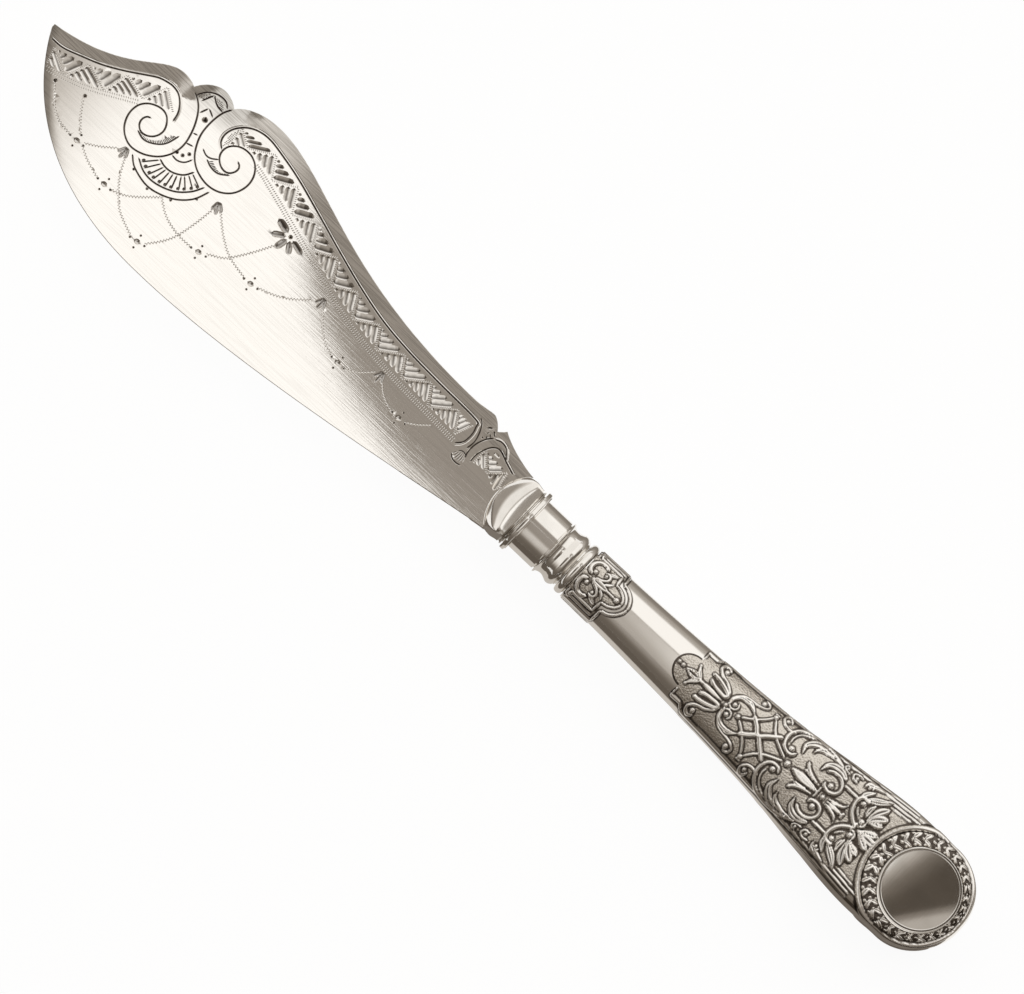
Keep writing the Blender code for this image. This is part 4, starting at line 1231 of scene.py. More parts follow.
# %% Sunk ground, crescent moulding and the shells
GROUND_SINK, PUNCH_DEPTH, LOWEST_RELIEF = 0.36, 0.07, 0.02
GROUND_END, GROUND_SLOPE, GROUND_RING_SLOPE = 440.0, 0.8, 1.5
RECESS_FULL = 0.15
END_RING_CENTRE, END_RING_RADIUS, END_RING_HALF, END_RING_RISE = 474.5, 58.9, 3.2, 0.70
GROOVE_AWAY, GROOVE_HALF, GROOVE_DEPTH = 3.6, 1.3, 0.22
TOP_START, TOP_RUN = 0.45, 0.3
PLAIN_MARK = 100.0
CARTOUCHE_TURN, CARTOUCHE_HALF, CARTOUCHE_LOBE, CARTOUCHE_LOBE_HALF = 49.0, 22.5, 18.0, 11.5
LOBE_CENTRE, LOBE_RADIUS, LOBE_SQUEEZE = 164.0, 18.0, 0.92
STEP_START, STEP_END, STEP_REACH, EDGE_INSET = 165.0, 177.0, 26.5, 0.5
punch_marks = np.random.default_rng(7)


def panel_reach(s):
    """How far the sunk ground reaches from the middle line: the lobe, the step and the panel's edge."""
    squeezed = (LOBE_CENTRE - s) * LOBE_SQUEEZE
    lobe = np.sqrt(np.clip(LOBE_RADIUS**2 - squeezed**2, 0.0, None)) * (s > PLAIN_MARK)
    step = np.where(s > STEP_START, STEP_REACH, lobe)
    edge = np.interp(s, *np.array([(STEP_END, STEP_REACH), *PANEL_EDGE]).T)
    return np.where(s > STEP_END, edge - EDGE_INSET, step)


def cartouche_reach(s):
    """The same for the cartouche: straight sides, and then half an ellipse."""
    straight = np.where(s < CARTOUCHE_TURN, CARTOUCHE_HALF, 0.0)
    share = (s - CARTOUCHE_TURN) / CARTOUCHE_LOBE
    lobe = np.sqrt(np.clip(1 - share**2, 0.0, None)) * CARTOUCHE_LOBE_HALF * (s >= CARTOUCHE_TURN)
    return np.maximum(straight, lobe)


def box_blur(field, reach):
    """Mean over a square of neighbours, from running sums along both ways."""
    for axis in (0, 1):
        padded = np.pad(field, [(reach + 1, reach) if k == axis else (0, 0) for k in (0, 1)], mode="edge")
        sums = np.cumsum(padded, axis=axis)
        width, size = 2 * reach + 1, sums.shape[axis]
        upper, lower = range(width, size), range(size - width)
        field = (np.take(sums, upper, axis) - np.take(sums, lower, axis)) / width
    return field


from_ring = np.hypot(row_s[:, None] - END_RING_CENTRE, plan_v) - END_RING_RADIUS
reach = np.where(row_s < PLAIN_MARK, cartouche_reach(row_s), panel_reach(row_s))[:, None]
ground = np.clip((reach - plan_v) / GROUND_SLOPE, 0.0, 1.0)
ground *= np.clip(from_ring / GROUND_RING_SLOPE, 0.0, 1.0) * (row_s[:, None] < GROUND_END)
rough = box_blur(punch_marks.uniform(-1.0, 1.0, plan_v.shape), 1) * 3
rise_share = outer[..., 2] / np.maximum(half_depth(row_x), TINY)[:, None]
on_top = np.clip((rise_share - TOP_START) / TOP_RUN, 0.0, 1.0)
end_ring = END_RING_RISE * on_top * np.sqrt(np.clip(1 - (from_ring / END_RING_HALF) ** 2, 0.0, None))
end_groove = GROOVE_DEPTH * on_top * np.clip(1 - np.abs(from_ring + GROOVE_AWAY) / GROOVE_HALF, 0.0, 1.0)
bare = ground * (relief < LOWEST_RELIEF)
height = relief - bare * GROUND_SINK + PUNCH_DEPTH * rough * bare
height = np.maximum(height * (from_ring > 0), end_ring) - end_groove
# Tarnish and painted shade: the colour darkens where the surface lies below the mean of its neighbours, at
# the feet of the relief.
tarnish_and_shade = np.clip((box_blur(height, 3) - height) / RECESS_FULL, 0.0, 1.0)
# Painted shade: a dark line along the wall round the sunk lobe.
from_lobe = np.hypot((LOBE_CENTRE - row_s[:, None]) * LOBE_SQUEEZE, plan_v) - LOBE_RADIUS
lobe_wall_shade = np.clip(1.6 - np.abs(from_lobe + 0.7) / 0.8, 0.0, 1.0)
at_lobe = (row_s[:, None] > PLAIN_MARK) & (row_s[:, None] < LOBE_CENTRE)
tarnish_and_shade = np.where(at_lobe, np.maximum(tarnish_and_shade, lobe_wall_shade), tarnish_and_shade)


def shell_surface(side):
    """The outer sections raised along their normals by the relief, and a plain inner wall."""
    along, across = np.gradient(outer, axis=0), np.gradient(outer, axis=1)
    normal = np.cross(across, along)
    normal /= np.linalg.norm(normal, axis=-1)[..., None] + TINY
    normal *= np.sign(normal[len(row_x) // 3, normal.shape[1] // 2, 2])
    at_seam = np.clip(outer[..., 2] / SEAM_FADE, 0.0, 1.0)
    raised = outer + normal * (height * at_seam * MM)[..., None]
    if side < 0:
        raised[..., 2] = np.minimum(raised[..., 2], AXIS_Z - SEAM)
    inner = half_section(inner_x, SHELL_WALL, half_box_rays(top=9, side=2))[:, ::-1]
    loops = np.concatenate([raised, inner], axis=1) * (1, 1, side) + (0, AXIS_Y, AXIS_Z)
    plain = np.zeros(inner.shape[:2])
    rows, cols = loops.shape[:2]
    faces = grid_faces(rows, cols, wrap_cols=True) + [list(range(cols))]
    drawn = {"tarnish_and_shade": tarnish_and_shade, "ground": bare}
    layers = {name: np.concatenate([values, plain], axis=1) for name, values in drawn.items()}
    return loops, faces, layers


SHELLS = [("struck_front_shell", "handle_front_shell", 1), ("struck_back_shell", "handle_back_shell", -1)]
shells = []
for name, node, side in SHELLS:
    points, faces, layers = shell_surface(side)
    shells.append(add_piece(name, node, points, faces, sharp=70, **layers))

# %% [markdown]
# ## Wreath and roundel
# The end of the handle carries a polished disc in a wreath. The wreath is a surface of angle and
# radius that lies on the handle: a low band with a pair of leaves in each of its repeats. The disc is
# domed by less than a hair, which is enough to draw a piece of the studio into its reflection.

# %% Wreath
WREATH_IN, WREATH_EDGE = 10.85 * MM, 55.4 * UNIT
WREATH_FOOT, WREATH_BAND = 0.05 * MM, 0.22 * MM
WREATH_LEAVES, WREATH_RISE = 28, 0.62 * MM
wreath_hand = np.random.default_rng(5)
LEAF_SHIFT, LEAF_TURN, LEAF_SIZE = wreath_hand.uniform(-1.0, 1.0, (3, WREATH_LEAVES))
LEAF_SLANT, LEAF_AWAY = 0.65, 0.24
LEAF_LENGTH, LEAF_WIDTH, VEIN_WIDTH, VEIN_DEPTH = 0.42, 0.19, 0.07, 0.4
BUD_PLACE, BUD_SIZE, BUD_RISE = (-0.30, 0.37), (0.17, 0.11), 0.9
BERRY_SIZE = (0.17, 0.14)
WREATH_ROWS, WREATH_COLS = 880, 30


def dome(away):
    """A round hump: 1 where away is 0, and 0 from away 1 on."""
    return np.sqrt(np.clip(1 - away**2, 0.0, None))


def wreath_relief(angle, share):
    """A chain of leaf pairs with buds as heights from 0 to 1, and a berry between each pair and the next.

    Each pair has its own cell of the band. A leaf is a long hump with a vein, which slants away from the
    band's middle line. The leaves run from the handle round both sides to its end, each turned by hand.
    """
    along = angle * WREATH_LEAVES / math.tau
    which = np.floor(along).astype(int) % WREATH_LEAVES
    size = 1 + 0.12 * LEAF_SIZE[which]
    u = -np.sign(np.sin(angle)) * (along % 1.0 - 0.5 - 0.05 * LEAF_SHIFT[which]) / size
    w = (share - 0.5 + 0.05 * LEAF_TURN[which]) / size
    slant, out = LEAF_SLANT + 0.3 * LEAF_TURN[which], np.abs(w) - LEAF_AWAY
    lengthwise = u * np.cos(slant) + out * np.sin(slant)
    crosswise = out * np.cos(slant) - u * np.sin(slant)
    vein = VEIN_DEPTH * dome(crosswise / VEIN_WIDTH)
    leaf = dome(np.hypot(lengthwise / LEAF_LENGTH, crosswise / LEAF_WIDTH)) * (1 - vein)
    bud_u, bud_w = (u - BUD_PLACE[0]) / BUD_SIZE[0], (np.abs(w) - BUD_PLACE[1]) / BUD_SIZE[1]
    bud = BUD_RISE * dome(np.hypot(bud_u, bud_w))
    berry = dome(np.hypot((np.abs(u) - 0.5) / BERRY_SIZE[0], w / BERRY_SIZE[1]))
    return np.maximum(leaf, np.maximum(bud, berry))


def wreath_surface(side):
    """Loops across the band at each angle: over the leaves from the disc to the end ring, and back.

    The band is a ring between two circles whose centres lie a little apart.
    """
    angle = np.linspace(0.0, math.tau, WREATH_ROWS, endpoint=False)[:, None]
    share = np.linspace(0.0, 1.0, WREATH_COLS)[None, :]
    apart = ROUNDEL_X - drawn_x(END_RING_CENTRE)
    wreath_out = np.sqrt(WREATH_EDGE**2 - (apart * np.sin(angle)) ** 2) - apart * np.cos(angle)
    radius = WREATH_IN + share * (wreath_out - WREATH_IN)
    x, y = ROUNDEL_X + radius * np.cos(angle), radius * np.sin(angle)
    base = handle_top(x, y) + WREATH_FOOT
    leaves = wreath_relief(angle, share)
    rounding = np.sqrt(np.clip(1 - np.abs(2 * share - 1) ** 8, 0.0, None))
    top = base + (WREATH_BAND + WREATH_RISE * leaves) * rounding
    foot = np.stack([x, y, base], axis=-1)[:, [-1, 0]]
    loops = np.concatenate([np.stack([x, y, top], axis=-1), foot], axis=1)
    # Tarnish and painted shade: dark between the leaves and on the foot, and light on the leaves' tops.
    tarnish_and_shade = np.concatenate([1 - np.clip(leaves * 2.2, 0.0, 1.0), np.ones(foot.shape[:2])], axis=1)
    if side < 0:
        loops[..., 2] = np.minimum(loops[..., 2], AXIS_Z - SEAM)
    loops = loops * (1, 1, side) + (0, AXIS_Y, AXIS_Z)
    return loops, grid_faces(*loops.shape[:2], True, True), {"tarnish_and_shade": tarnish_and_shade, "ground": tarnish_and_shade * 0.5}


WREATHS = [("front_leaf_wreath", "front_wreath", 1), ("back_leaf_wreath", "back_wreath", -1)]
wreaths = []
for name, node, side in WREATHS:
    points, faces, layers = wreath_surface(side)
    wreaths.append(add_piece(name, node, points, faces, sharp=70, **layers))

# %% Roundels
ROUNDEL_RADIUS, ROUNDEL_BEAD = 10.6 * MM, 0.75 * MM
ROUNDEL_FACE = AXIS_Z
ROUNDEL_DOME, BACK_DOME = 0.08 * MM, 0.10 * MM
ROUNDEL_BEAD_RISE = 0.30 * MM


def roundel_surface(side, dome):
    """A domed disc with a round bead at its rim: height falls with the square of the radius."""
    angle = np.linspace(0.0, math.tau, 160, endpoint=False)[:, None]
    disc = np.linspace(0.0, ROUNDEL_RADIUS - ROUNDEL_BEAD, 18)
    roll = np.linspace(0.0, 1.0, 10)
    bead_r = ROUNDEL_RADIUS - ROUNDEL_BEAD + ROUNDEL_BEAD * roll
    disc_z = ROUNDEL_FACE - dome * (disc / ROUNDEL_RADIUS) ** 2
    bead_z = ROUNDEL_FACE - dome + ROUNDEL_BEAD_RISE * np.sqrt(np.sin(math.pi * roll * 0.98 + 0.01))
    bead_z = np.minimum(bead_z, ROUNDEL_FACE)
    radius = np.concatenate([disc, bead_r, [ROUNDEL_RADIUS, 0.0]])
    height = np.concatenate([disc_z, bead_z, [0.0, 0.0]])
    x, y = ROUNDEL_X + radius * np.cos(angle), radius * np.sin(angle)
    under = handle_top(x[:, -2:], y[:, -2:]) + WREATH_FOOT
    z = np.concatenate([np.broadcast_to(height[:-2], (len(angle), len(height) - 2)), under], axis=1)
    loops = np.stack([x, y, z], axis=-1) * (1, 1, side) + (0, AXIS_Y, AXIS_Z)
    return loops, grid_faces(*loops.shape[:2], wrap_rows=True)


front_roundel = add_piece("polished_roundel", "front_roundel", *roundel_surface(1, ROUNDEL_DOME), sharp=40)
back_roundel = add_piece("plain_roundel", "back_roundel", *roundel_surface(-1, BACK_DOME), sharp=40)

# %% [markdown]
# ## Writing shader maths
# A material is a small program of nodes. One class wraps a socket, so that sums and products are
# written as they are read, and its node method adds any other node.

# %% Sockets as values


class Wire:
    """An output socket of a node tree. Arithmetic with numbers or other wires adds Math nodes."""

    def __init__(self, tree, socket=None):
        self.tree = tree
        self.socket = socket

    def node(self, kind, settings, sockets, output=0):
        """Adds a node: its settings first, then the values or links of its sockets."""
        made = self.tree.nodes.new(kind)
        for name, setting in settings.items():
            setattr(made, name, setting)
        for name, value in sockets.items():
            if isinstance(value, Wire):
                self.tree.links.new(value.socket, made.inputs[name])
            else:
                made.inputs[name].default_value = value
        return Wire(self.tree, made.outputs[output] if len(made.outputs) else None)

    def maths(self, operation, *values):
        """Adds a Math node for an operation on values or wires."""
        return self.node("ShaderNodeMath", {"operation": operation}, dict(enumerate(values)))

    def __add__(self, other):
        return self.maths("ADD", self, other)

    __radd__ = __add__

    def __sub__(self, other):
        return self.maths("SUBTRACT", self, other)

    def __rsub__(self, other):
        return self.maths("SUBTRACT", other, self)

    def __mul__(self, other):
        return self.maths("MULTIPLY", self, other)

    __rmul__ = __mul__

    def __pow__(self, other):
        return self.maths("POWER", self, other)

    def smooth(self, low, high):
        """0 below low, 1 above high, and a smooth step between."""
        limits = {"Value": self, "From Min": low, "From Max": high}
        return self.node("ShaderNodeMapRange", {"interpolation_type": "SMOOTHSTEP"}, limits)

    def mix(self, first, second):
        """Between two colours, by this value."""
        sockets = {0: self, 6: first, 7: second}
        return self.node("ShaderNodeMix", {"data_type": "RGBA"}, sockets, 2)


def new_material(name):
    """A material with an empty node tree, and a wire to start from."""
    material = bpy.data.materials.new(name)
    material.use_nodes = True
    material.node_tree.nodes.clear()
    return material, Wire(material.node_tree)


def finish_material(start, **sockets):
    """A Principled shader on the material's output."""
    named = {name.replace("_", " "): value for name, value in sockets.items()}
    shader = start.node("ShaderNodeBsdfPrincipled", {}, named)
    start.node("ShaderNodeOutputMaterial", {}, {"Surface": shader})


def noise(start, scale, detail=3.0):
    """Noise over Object coordinates, stretched by a scale along each axis."""
    place = start.node("ShaderNodeTexCoord", {}, {}, "Object")
    place = start.node("ShaderNodeMapping", {}, {"Vector": place, "Scale": scale})
    return start.node("ShaderNodeTexNoise", {}, {"Vector": place, "Scale": 1.0, "Detail": detail}, "Fac")


def layer(start, name):
    """A number layer that was stored with the piece's points."""
    return start.node("ShaderNodeAttribute", {"attribute_name": name}, {}, "Fac")


# %% [markdown]
# ## Silver in its finishes
# The whole server is silver, but no two parts are finished alike. The blade is brushed along its length
# and dark in its cuts with dirt and painted shade, and painted grey by its volutes. Turned parts are
# burnished, and the struck handle is bright on its ridges, tarnished on its punched ground and dark at
# the feet of its relief with tarnish and painted shade.

# %% Silver materials
SILVER = (0.90, 0.865, 0.815, 1.0)
# The dark colour of cuts and recesses: tarnish, and painted shade.
DARK_TARNISH_AND_SHADE = (0.075, 0.058, 0.045, 1.0)
OLD_SILVER = (0.70, 0.65, 0.58, 1.0)
# The duller colour of the satin rim, and of the painted grey shade by the volutes and the worn strip.
DULL_AND_SHADED_SILVER = (0.42, 0.395, 0.36, 1.0)


def blade_silver():
    """Brushed along the blade, dark in its cuts with dirt and painted shade, duller along the rim, with
    painted grey shade by the volutes and a darker worn strip along the edge.
    """
    material, start = new_material("blade_silver")
    tarnish_and_shade, rim, zone, fade = (layer(start, name) for name in ("tarnish_and_shade", "rim", "zone", "fade"))
    brush = noise(start, (80.0, 3600.0, 80.0), 5.0)
    cloud = noise(start, (45.0, 70.0, 45.0))
    satin = rim.smooth(0.01, 0.08) * (1 - zone)
    lines = brush.smooth(0.36, 0.64)
    # The rim is a satin finish; the fade layer paints grey shade by the volutes and darkens the worn strip
    # at the edge.
    dull_and_shaded = satin * (0.02 + 0.42 * lines) + fade * (0.66 + 0.30 * lines)
    base_tone = (brush.smooth(0.42, 0.68) * 0.15 + dull_and_shaded).mix(SILVER, DULL_AND_SHADED_SILVER)
    dark = tarnish_and_shade.smooth(0.05, 0.7) * 0.95
    colour = dark.mix(base_tone, DARK_TARNISH_AND_SHADE)
    roughness = 0.025 + 0.02 * cloud + 0.02 * brush + 0.05 * satin
    bump = start.node("ShaderNodeBump", {}, {"Height": brush, "Strength": 0.06, "Distance": 0.00005})
    finish_material(start, Base_Color=colour, Metallic=1.0, Roughness=roughness, Normal=bump)
    return material


def burnished_silver(name, roughness, lines):
    """Polished silver: smudges change its colour and roughness, and hairlines its bump."""
    material, start = new_material(name)
    smudge = noise(start, (160.0, 160.0, 160.0))
    hairline = noise(start, (2800.0, 220.0, 220.0), 2.0)
    colour = smudge.smooth(0.35, 0.75).mix(SILVER, (0.80, 0.77, 0.72, 1.0))
    rough = roughness * (0.7 + 0.7 * smudge)
    bump = start.node("ShaderNodeBump", {}, {"Height": hairline, "Strength": lines, "Distance": 0.00002})
    finish_material(start, Base_Color=colour, Metallic=1.0, Roughness=rough, Normal=bump)
    return material


def struck_silver(name):
    """Bright on its ridges, dark in its recesses with tarnish and painted shade, and grainy on its punched
    ground.
    """
    material, start = new_material(name)
    tarnish_and_shade, ground = layer(start, "tarnish_and_shade"), layer(start, "ground")
    place = start.node("ShaderNodeTexCoord", {}, {}, "Object")
    punch = start.node("ShaderNodeTexVoronoi", {}, {"Vector": place, "Scale": 1900.0}, "Distance")
    grime = noise(start, (420.0, 420.0, 420.0))
    base_tone = ground.smooth(0.2, 0.9).mix(SILVER, OLD_SILVER)
    grain = (1 - punch.smooth(0.06, 0.36)) * ground
    dark = (tarnish_and_shade * (0.75 + 0.5 * grime)).smooth(0.08, 0.75) * 0.95 + 0.42 * grain
    colour = dark.mix(base_tone, DARK_TARNISH_AND_SHADE)
    roughness = 0.10 + 0.12 * ground + 0.05 * grime
    bump = start.node("ShaderNodeBump", {}, {"Height": punch * ground, "Strength": 0.8, "Distance": 0.0002})
    finish_material(start, Base_Color=colour, Metallic=1.0, Roughness=roughness, Normal=bump)
    return material


def tang_steel():
    """Grey steel with rust in patches."""
    material, start = new_material("tang_steel")
    rust = noise(start, (300.0, 300.0, 300.0), 5.0)
    colour = rust.smooth(0.5, 0.72).mix((0.42, 0.42, 0.43, 1.0), (0.20, 0.13, 0.09, 1.0))
    finish_material(start, Base_Color=colour, Metallic=0.9, Roughness=0.3 + 0.3 * rust)
    return material


def cutlers_pitch():
    """A dark, dull and lumpy cement."""
    material, start = new_material("cutlers_pitch")
    lump = noise(start, (250.0, 250.0, 250.0), 4.0)
    colour = lump.mix((0.035, 0.026, 0.018, 1.0), (0.09, 0.066, 0.045, 1.0))
    bump = start.node("ShaderNodeBump", {}, {"Height": lump, "Strength": 0.4, "Distance": 0.0004})
    finish_material(start, Base_Color=colour, Roughness=0.5 + 0.3 * lump, Normal=bump)
    return material


# %% Give every piece its finish
blade.data.materials.append(blade_silver())
turned_silver = burnished_silver("turned_silver", 0.09, 0.12)
for piece in (bolster, flange_bead, flange_plate, neck, ferrule, ring):
    piece.data.materials.append(turned_silver)
mirror_silver = burnished_silver("mirror_silver", 0.035, 0.02)
for piece in (front_roundel, back_roundel):
    piece.data.materials.append(mirror_silver)
handle_silver, wreath_silver = struck_silver("handle_silver"), struck_silver("wreath_silver")
for piece in shells:
    piece.data.materials.append(handle_silver)
for piece in wreaths:
    piece.data.materials.append(wreath_silver)
for node, material in (("tang", tang_steel()), ("pitch_filling", cutlers_pitch())):
    inside_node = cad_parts[node]
    inside_node.data.materials.clear()
    inside_node.data.materials.append(material)
print(len(bpy.data.materials), "materials")

# %% [markdown]
# ## Floor, light and camera
# Polished silver shows the studio more than itself. The floor is plain and pale. The world is a soft
# tent: bright on the side of the blade's back, grey overhead and dark on the other side. Panels hang
# over the server where soft boxes and flags would be, so that the blade's plain turns white and each
# other part has something to reflect. Cards on the floor, which only reflections see, draw the sides
# of the round parts.

# %% Floor
FLOOR_SIZE, FLOOR_WHITE, WHITE_SHARE = 3.0, 1.06, 0.87


def pale_floor():
    """White to the camera and to reflections, with a share of real shading that keeps the shadow."""
    material, start = new_material("pale_floor")
    kinds = ("Is Camera Ray", "Is Glossy Ray", "Is Transmission Ray")
    rays = [start.node("ShaderNodeLightPath", {}, {}, kind) for kind in kinds]
    seen = rays[0].maths("MAXIMUM", rays[0], rays[1])
    seen = seen.maths("MAXIMUM", seen, rays[2])
    paint = start.node("ShaderNodeBsdfDiffuse", {}, {"Color": (0.92, 0.92, 0.92, 1.0)})
    white = start.node("ShaderNodeEmission", {}, {"Color": (1.0, 1.0, 1.0, 1.0), "Strength": FLOOR_WHITE})
    mixed = start.node("ShaderNodeMixShader", {}, {0: seen * WHITE_SHARE, 1: paint, 2: white})
    start.node("ShaderNodeOutputMaterial", {}, {"Surface": mixed})
    return material


def stage_plane(name, low, high, z):
    """A flat rectangle of the stage, between two corners."""
    mesh = bpy.data.meshes.new(name)
    plan = [(low[0], low[1], z), (high[0], low[1], z), (high[0], high[1], z), (low[0], high[1], z)]
    mesh.from_pydata(plan, [], [(0, 1, 2, 3)])
    plane = bpy.data.objects.new(name, mesh)
    bpy.context.scene.collection.objects.link(plane)
    return plane


floor = stage_plane("floor", (-FLOOR_SIZE, -FLOOR_SIZE), (FLOOR_SIZE, FLOOR_SIZE), 0.0)
floor.data.materials.append(pale_floor())


def warm(level):
    """A light's colour at a level: warm white, and a little browner where it is darker."""
    channels = {"Red": level, "Green": 0.985 * level**1.07, "Blue": 0.965 * level**1.15}
    return level.node("ShaderNodeCombineColor", {}, channels)


END_FADE = (0.095, 0.130)
CARD_RISE = 0.5 * MM


def side_card(name, low, high, near, far, fade=0.0):
    """A card on the floor that only reflections see. near and far are pairs of y and grey.

    By fade, it gets darker towards the handle's end.
    """
    card = stage_plane(name, low, high, CARD_RISE)
    material, start = new_material(name)
    place = start.node("ShaderNodeTexCoord", {}, {}, "Object")
    along, across = (start.node("ShaderNodeSeparateXYZ", {}, {"Vector": place}, axis) for axis in ("X", "Y"))
    way = math.copysign(1.0, far[0] - near[0])
    share = (across * way).smooth(near[0] * way, far[0] * way)
    grey = (near[1] + (far[1] - near[1]) * share) * (1 - fade * along.smooth(*END_FADE))
    glow = start.node("ShaderNodeEmission", {}, {"Color": warm(grey), "Strength": 1.0})
    start.node("ShaderNodeOutputMaterial", {}, {"Surface": glow})
    card.data.materials.append(material)
    for ray in ("camera", "diffuse", "shadow", "transmission", "volume_scatter"):
        setattr(card, "visible_" + ray, False)


side_card("back_card", (-0.02, 0.013), (0.40, 1.5), (0.013, 0.24), (0.080, 0.42))
side_card("front_card", (0.0105, -FLOOR_SIZE), (0.40, -0.0112), (-0.0255, 0.58), (-0.0285, 0.12), 0.7)
side_card("bolster_card", (-0.02, -FLOOR_SIZE), (0.0105, -0.0112), (-0.0112, 0.20), (-0.0285, 0.12))

# %% World and hung panels
TENT_GREY, TENT_BRIGHT, TENT_DARK = 0.32, 0.74, 0.18
TIP_LEVEL, LOW_TIP_DROP = 0.95, 0.60
END_LEVEL, LOW_END_RISE = 0.12, 0.22
world = bpy.data.worlds.new("studio_tent")
bpy.context.scene.world = world
world.use_nodes = True
world.node_tree.nodes.clear()
sky = Wire(world.node_tree)
direction = sky.node("ShaderNodeTexCoord", {}, {}, "Generated")
axes = [sky.node("ShaderNodeSeparateXYZ", {}, {"Vector": direction}, k) for k in range(3)]
tilt = axes[0].maths("ARCTAN2", axes[1], axes[2])


def tilt_step(low, high):
    """A smooth step between two tilts in degrees, from overhead towards the blade's back."""
    return tilt.smooth(math.radians(low), math.radians(high))


bright_side = tilt_step(18, 25) - 0.8 * tilt_step(76, 88)
dark_side = 1 - tilt_step(-78, -34)
tent = TENT_GREY + TENT_BRIGHT * bright_side - TENT_DARK * dark_side
towards_tip = (0 - axes[0]).smooth(0.32, 0.46) * (1 - dark_side)
low_tip = (0 - axes[0]).smooth(0.80, 0.92)
towards_end = axes[0].smooth(0.40, 0.80)
low_end = axes[0].smooth(0.84, 0.93)
tent = tent * (1 - towards_tip) + (TIP_LEVEL - LOW_TIP_DROP * low_tip) * towards_tip
tent = tent * (1 - towards_end) + (END_LEVEL + LOW_END_RISE * low_end) * towards_end
background = sky.node("ShaderNodeBackground", {}, {"Color": warm(tent), "Strength": 1.0})
sky.node("ShaderNodeOutputWorld", {}, {"Surface": background})

SOFT_BOX_RISE = 0.5
SOFT_BOX_CORNERS = [(-0.205, 0.114), (-0.137, 0.108), (-0.101, 0.100)]
SOFT_BOX_CORNERS += [(-0.089, 0.077), (-0.071, 0.066), (-0.053, 0.059), (-0.029, 0.053), (0.009, 0.050)]
SOFT_BOX_CORNERS += [(0.009, 0.02), (-0.190, 0.02)]


def hung_panel(name, corners_on_plan, rise=SOFT_BOX_RISE):
    """A flat panel over the server, which gives light and is reflected, but which the camera doesn't see."""
    mesh = bpy.data.meshes.new(name)
    places = [(x, y, FRONT_Z + rise) for x, y in corners_on_plan]
    mesh.from_pydata(places, [], [list(range(len(places)))])
    panel = bpy.data.objects.new(name, mesh)
    bpy.context.scene.collection.objects.link(panel)
    panel.visible_camera = panel.visible_shadow = False
    material, start = new_material(name)
    mesh.materials.append(material)
    place = start.node("ShaderNodeTexCoord", {}, {}, "Object")
    x, y = (start.node("ShaderNodeSeparateXYZ", {}, {"Vector": place}, axis) for axis in ("X", "Y"))
    return start, x, y


def light_up(start, level):
    """Makes the panel glow at a level that may vary over it."""
    glow = start.node("ShaderNodeEmission", {}, {"Color": warm(level), "Strength": 1.0})
    start.node("ShaderNodeOutputMaterial", {}, {"Surface": glow})


# The blade's plain reflects this one, and is greyer near the tip.
start, x, y = hung_panel("soft_box", SOFT_BOX_CORNERS)
light_up(start, 0.36 + 0.78 * x.smooth(-0.196, -0.152))

# This card lies beyond the soft box, for the scrolled back, and is lightest in its middle.
CREST_CORNERS = [(-0.155, 0.148), (-0.137, 0.148), (-0.137, 0.109), (-0.112, 0.104), (-0.108, 0.148)]
CREST_CORNERS += [(-0.070, 0.148), (-0.070, 0.200), (-0.155, 0.200)]
start, x, y = hung_panel("crest_card", CREST_CORNERS)
light_up(start, 0.34 + 0.42 * x.smooth(-0.152, -0.136) * (1 - x.smooth(-0.108, -0.078)))

# A dark flag on the other side, for the worn strip along the cutting edge.
EDGE_FLAG_CORNERS = [(-0.26, -0.50), (0.0, -0.50), (0.0, -0.03), (-0.26, -0.03)]
start, x, y = hung_panel("edge_flag", EDGE_FLAG_CORNERS)
light_up(start, 0.26 - 0.14 * (0 - y).smooth(0.05, 0.14))

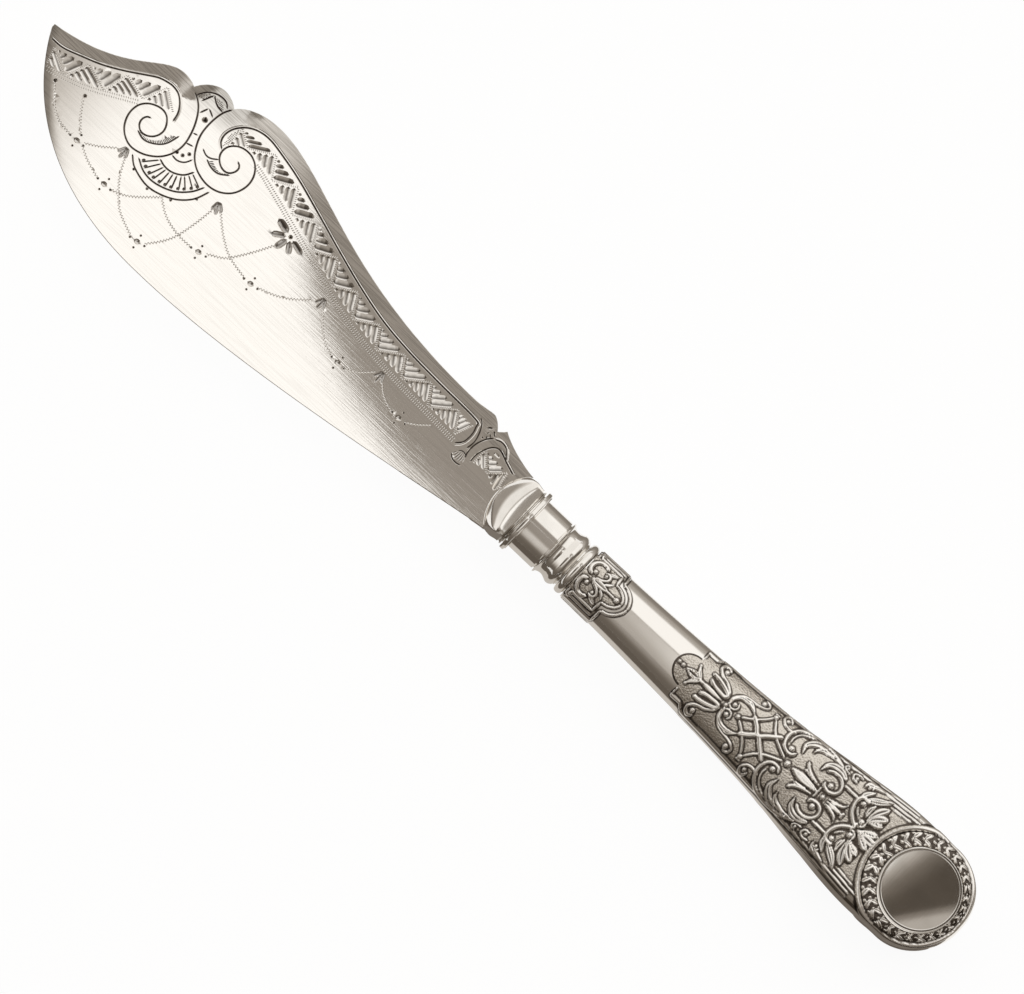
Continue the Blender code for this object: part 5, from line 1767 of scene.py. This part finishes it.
# A panel over the handle, brighter towards the handle's end.
OVERHEAD_CORNERS = [(0.037, -0.50), (0.24, -0.50), (0.24, 0.165), (0.037, 0.165)]
start, x, y = hung_panel("handle_soft_box", OVERHEAD_CORNERS, SOFT_BOX_RISE + 0.01)
level_across = 0.38 + 0.18 * y.smooth(-0.48, 0.06)
gain_along = 1 + 0.55 * x.smooth(0.068, 0.086) + 0.30 * x.smooth(0.125, 0.140)
light_up(start, level_across * gain_along)

# A card for the neck and the ferrule, darker at both ends.
NECK_CARD_CORNERS = [(0.008, -1.05), (0.036, -1.05), (0.036, -0.20), (0.008, -0.20)]
start, x, y = hung_panel("neck_card", NECK_CARD_CORNERS)
light_up(start, 0.18 + 0.50 * y.smooth(-1.05, -0.42) - 0.32 * y.smooth(-0.33, -0.20))

# A flag for the roundel, with a slanting shade and a bright strip.
FLAG_CORNERS = [(0.149, 0.034), (0.205, 0.034), (0.205, 0.102), (0.149, 0.102)]
start, x, y = hung_panel("roundel_flag", FLAG_CORNERS)
across = x - 0.228 * y + 0.0152
shade = 0.62 - 0.42 * across.smooth(0.146, 0.162) - 0.11 * across.smooth(0.156, 0.174)
strip = x - 0.72 * y
light_up(start, shade + 0.14 * strip.smooth(0.1428, 0.1445) + 0.24 * strip.smooth(0.1465, 0.150))

# %% Camera
VIEW_ROLL, VIEW_TURN = math.radians(8.0), math.radians(43.6)
VIEW_DISTANCE, VIEW_ACROSS = 2.5, 0.256
VIEW_TARGET = np.array([4.675, -1.35, 8.2]) * MM
camera_data = bpy.data.cameras.new("camera")
camera = bpy.data.objects.new("camera", camera_data)
bpy.context.scene.collection.objects.link(camera)
bpy.context.scene.camera = camera
towards = np.array([0.0, -math.sin(VIEW_ROLL), math.cos(VIEW_ROLL)])
upward = np.array([0.0, math.cos(VIEW_ROLL), math.sin(VIEW_ROLL)])
ahead = np.array([1.0, 0.0, 0.0])
right = math.cos(VIEW_TURN) * ahead + math.sin(VIEW_TURN) * upward
up = -math.sin(VIEW_TURN) * ahead + math.cos(VIEW_TURN) * upward
turned_view = Matrix((right, up, towards)).transposed().to_4x4()
camera.matrix_world = Matrix.Translation(VIEW_TARGET + towards * VIEW_DISTANCE) @ turned_view
camera_data.sensor_width = 36.0
camera_data.lens = camera_data.sensor_width * VIEW_DISTANCE / VIEW_ACROSS
camera_data.clip_end = 20.0
bpy.context.scene.view_settings.view_transform = "Standard"
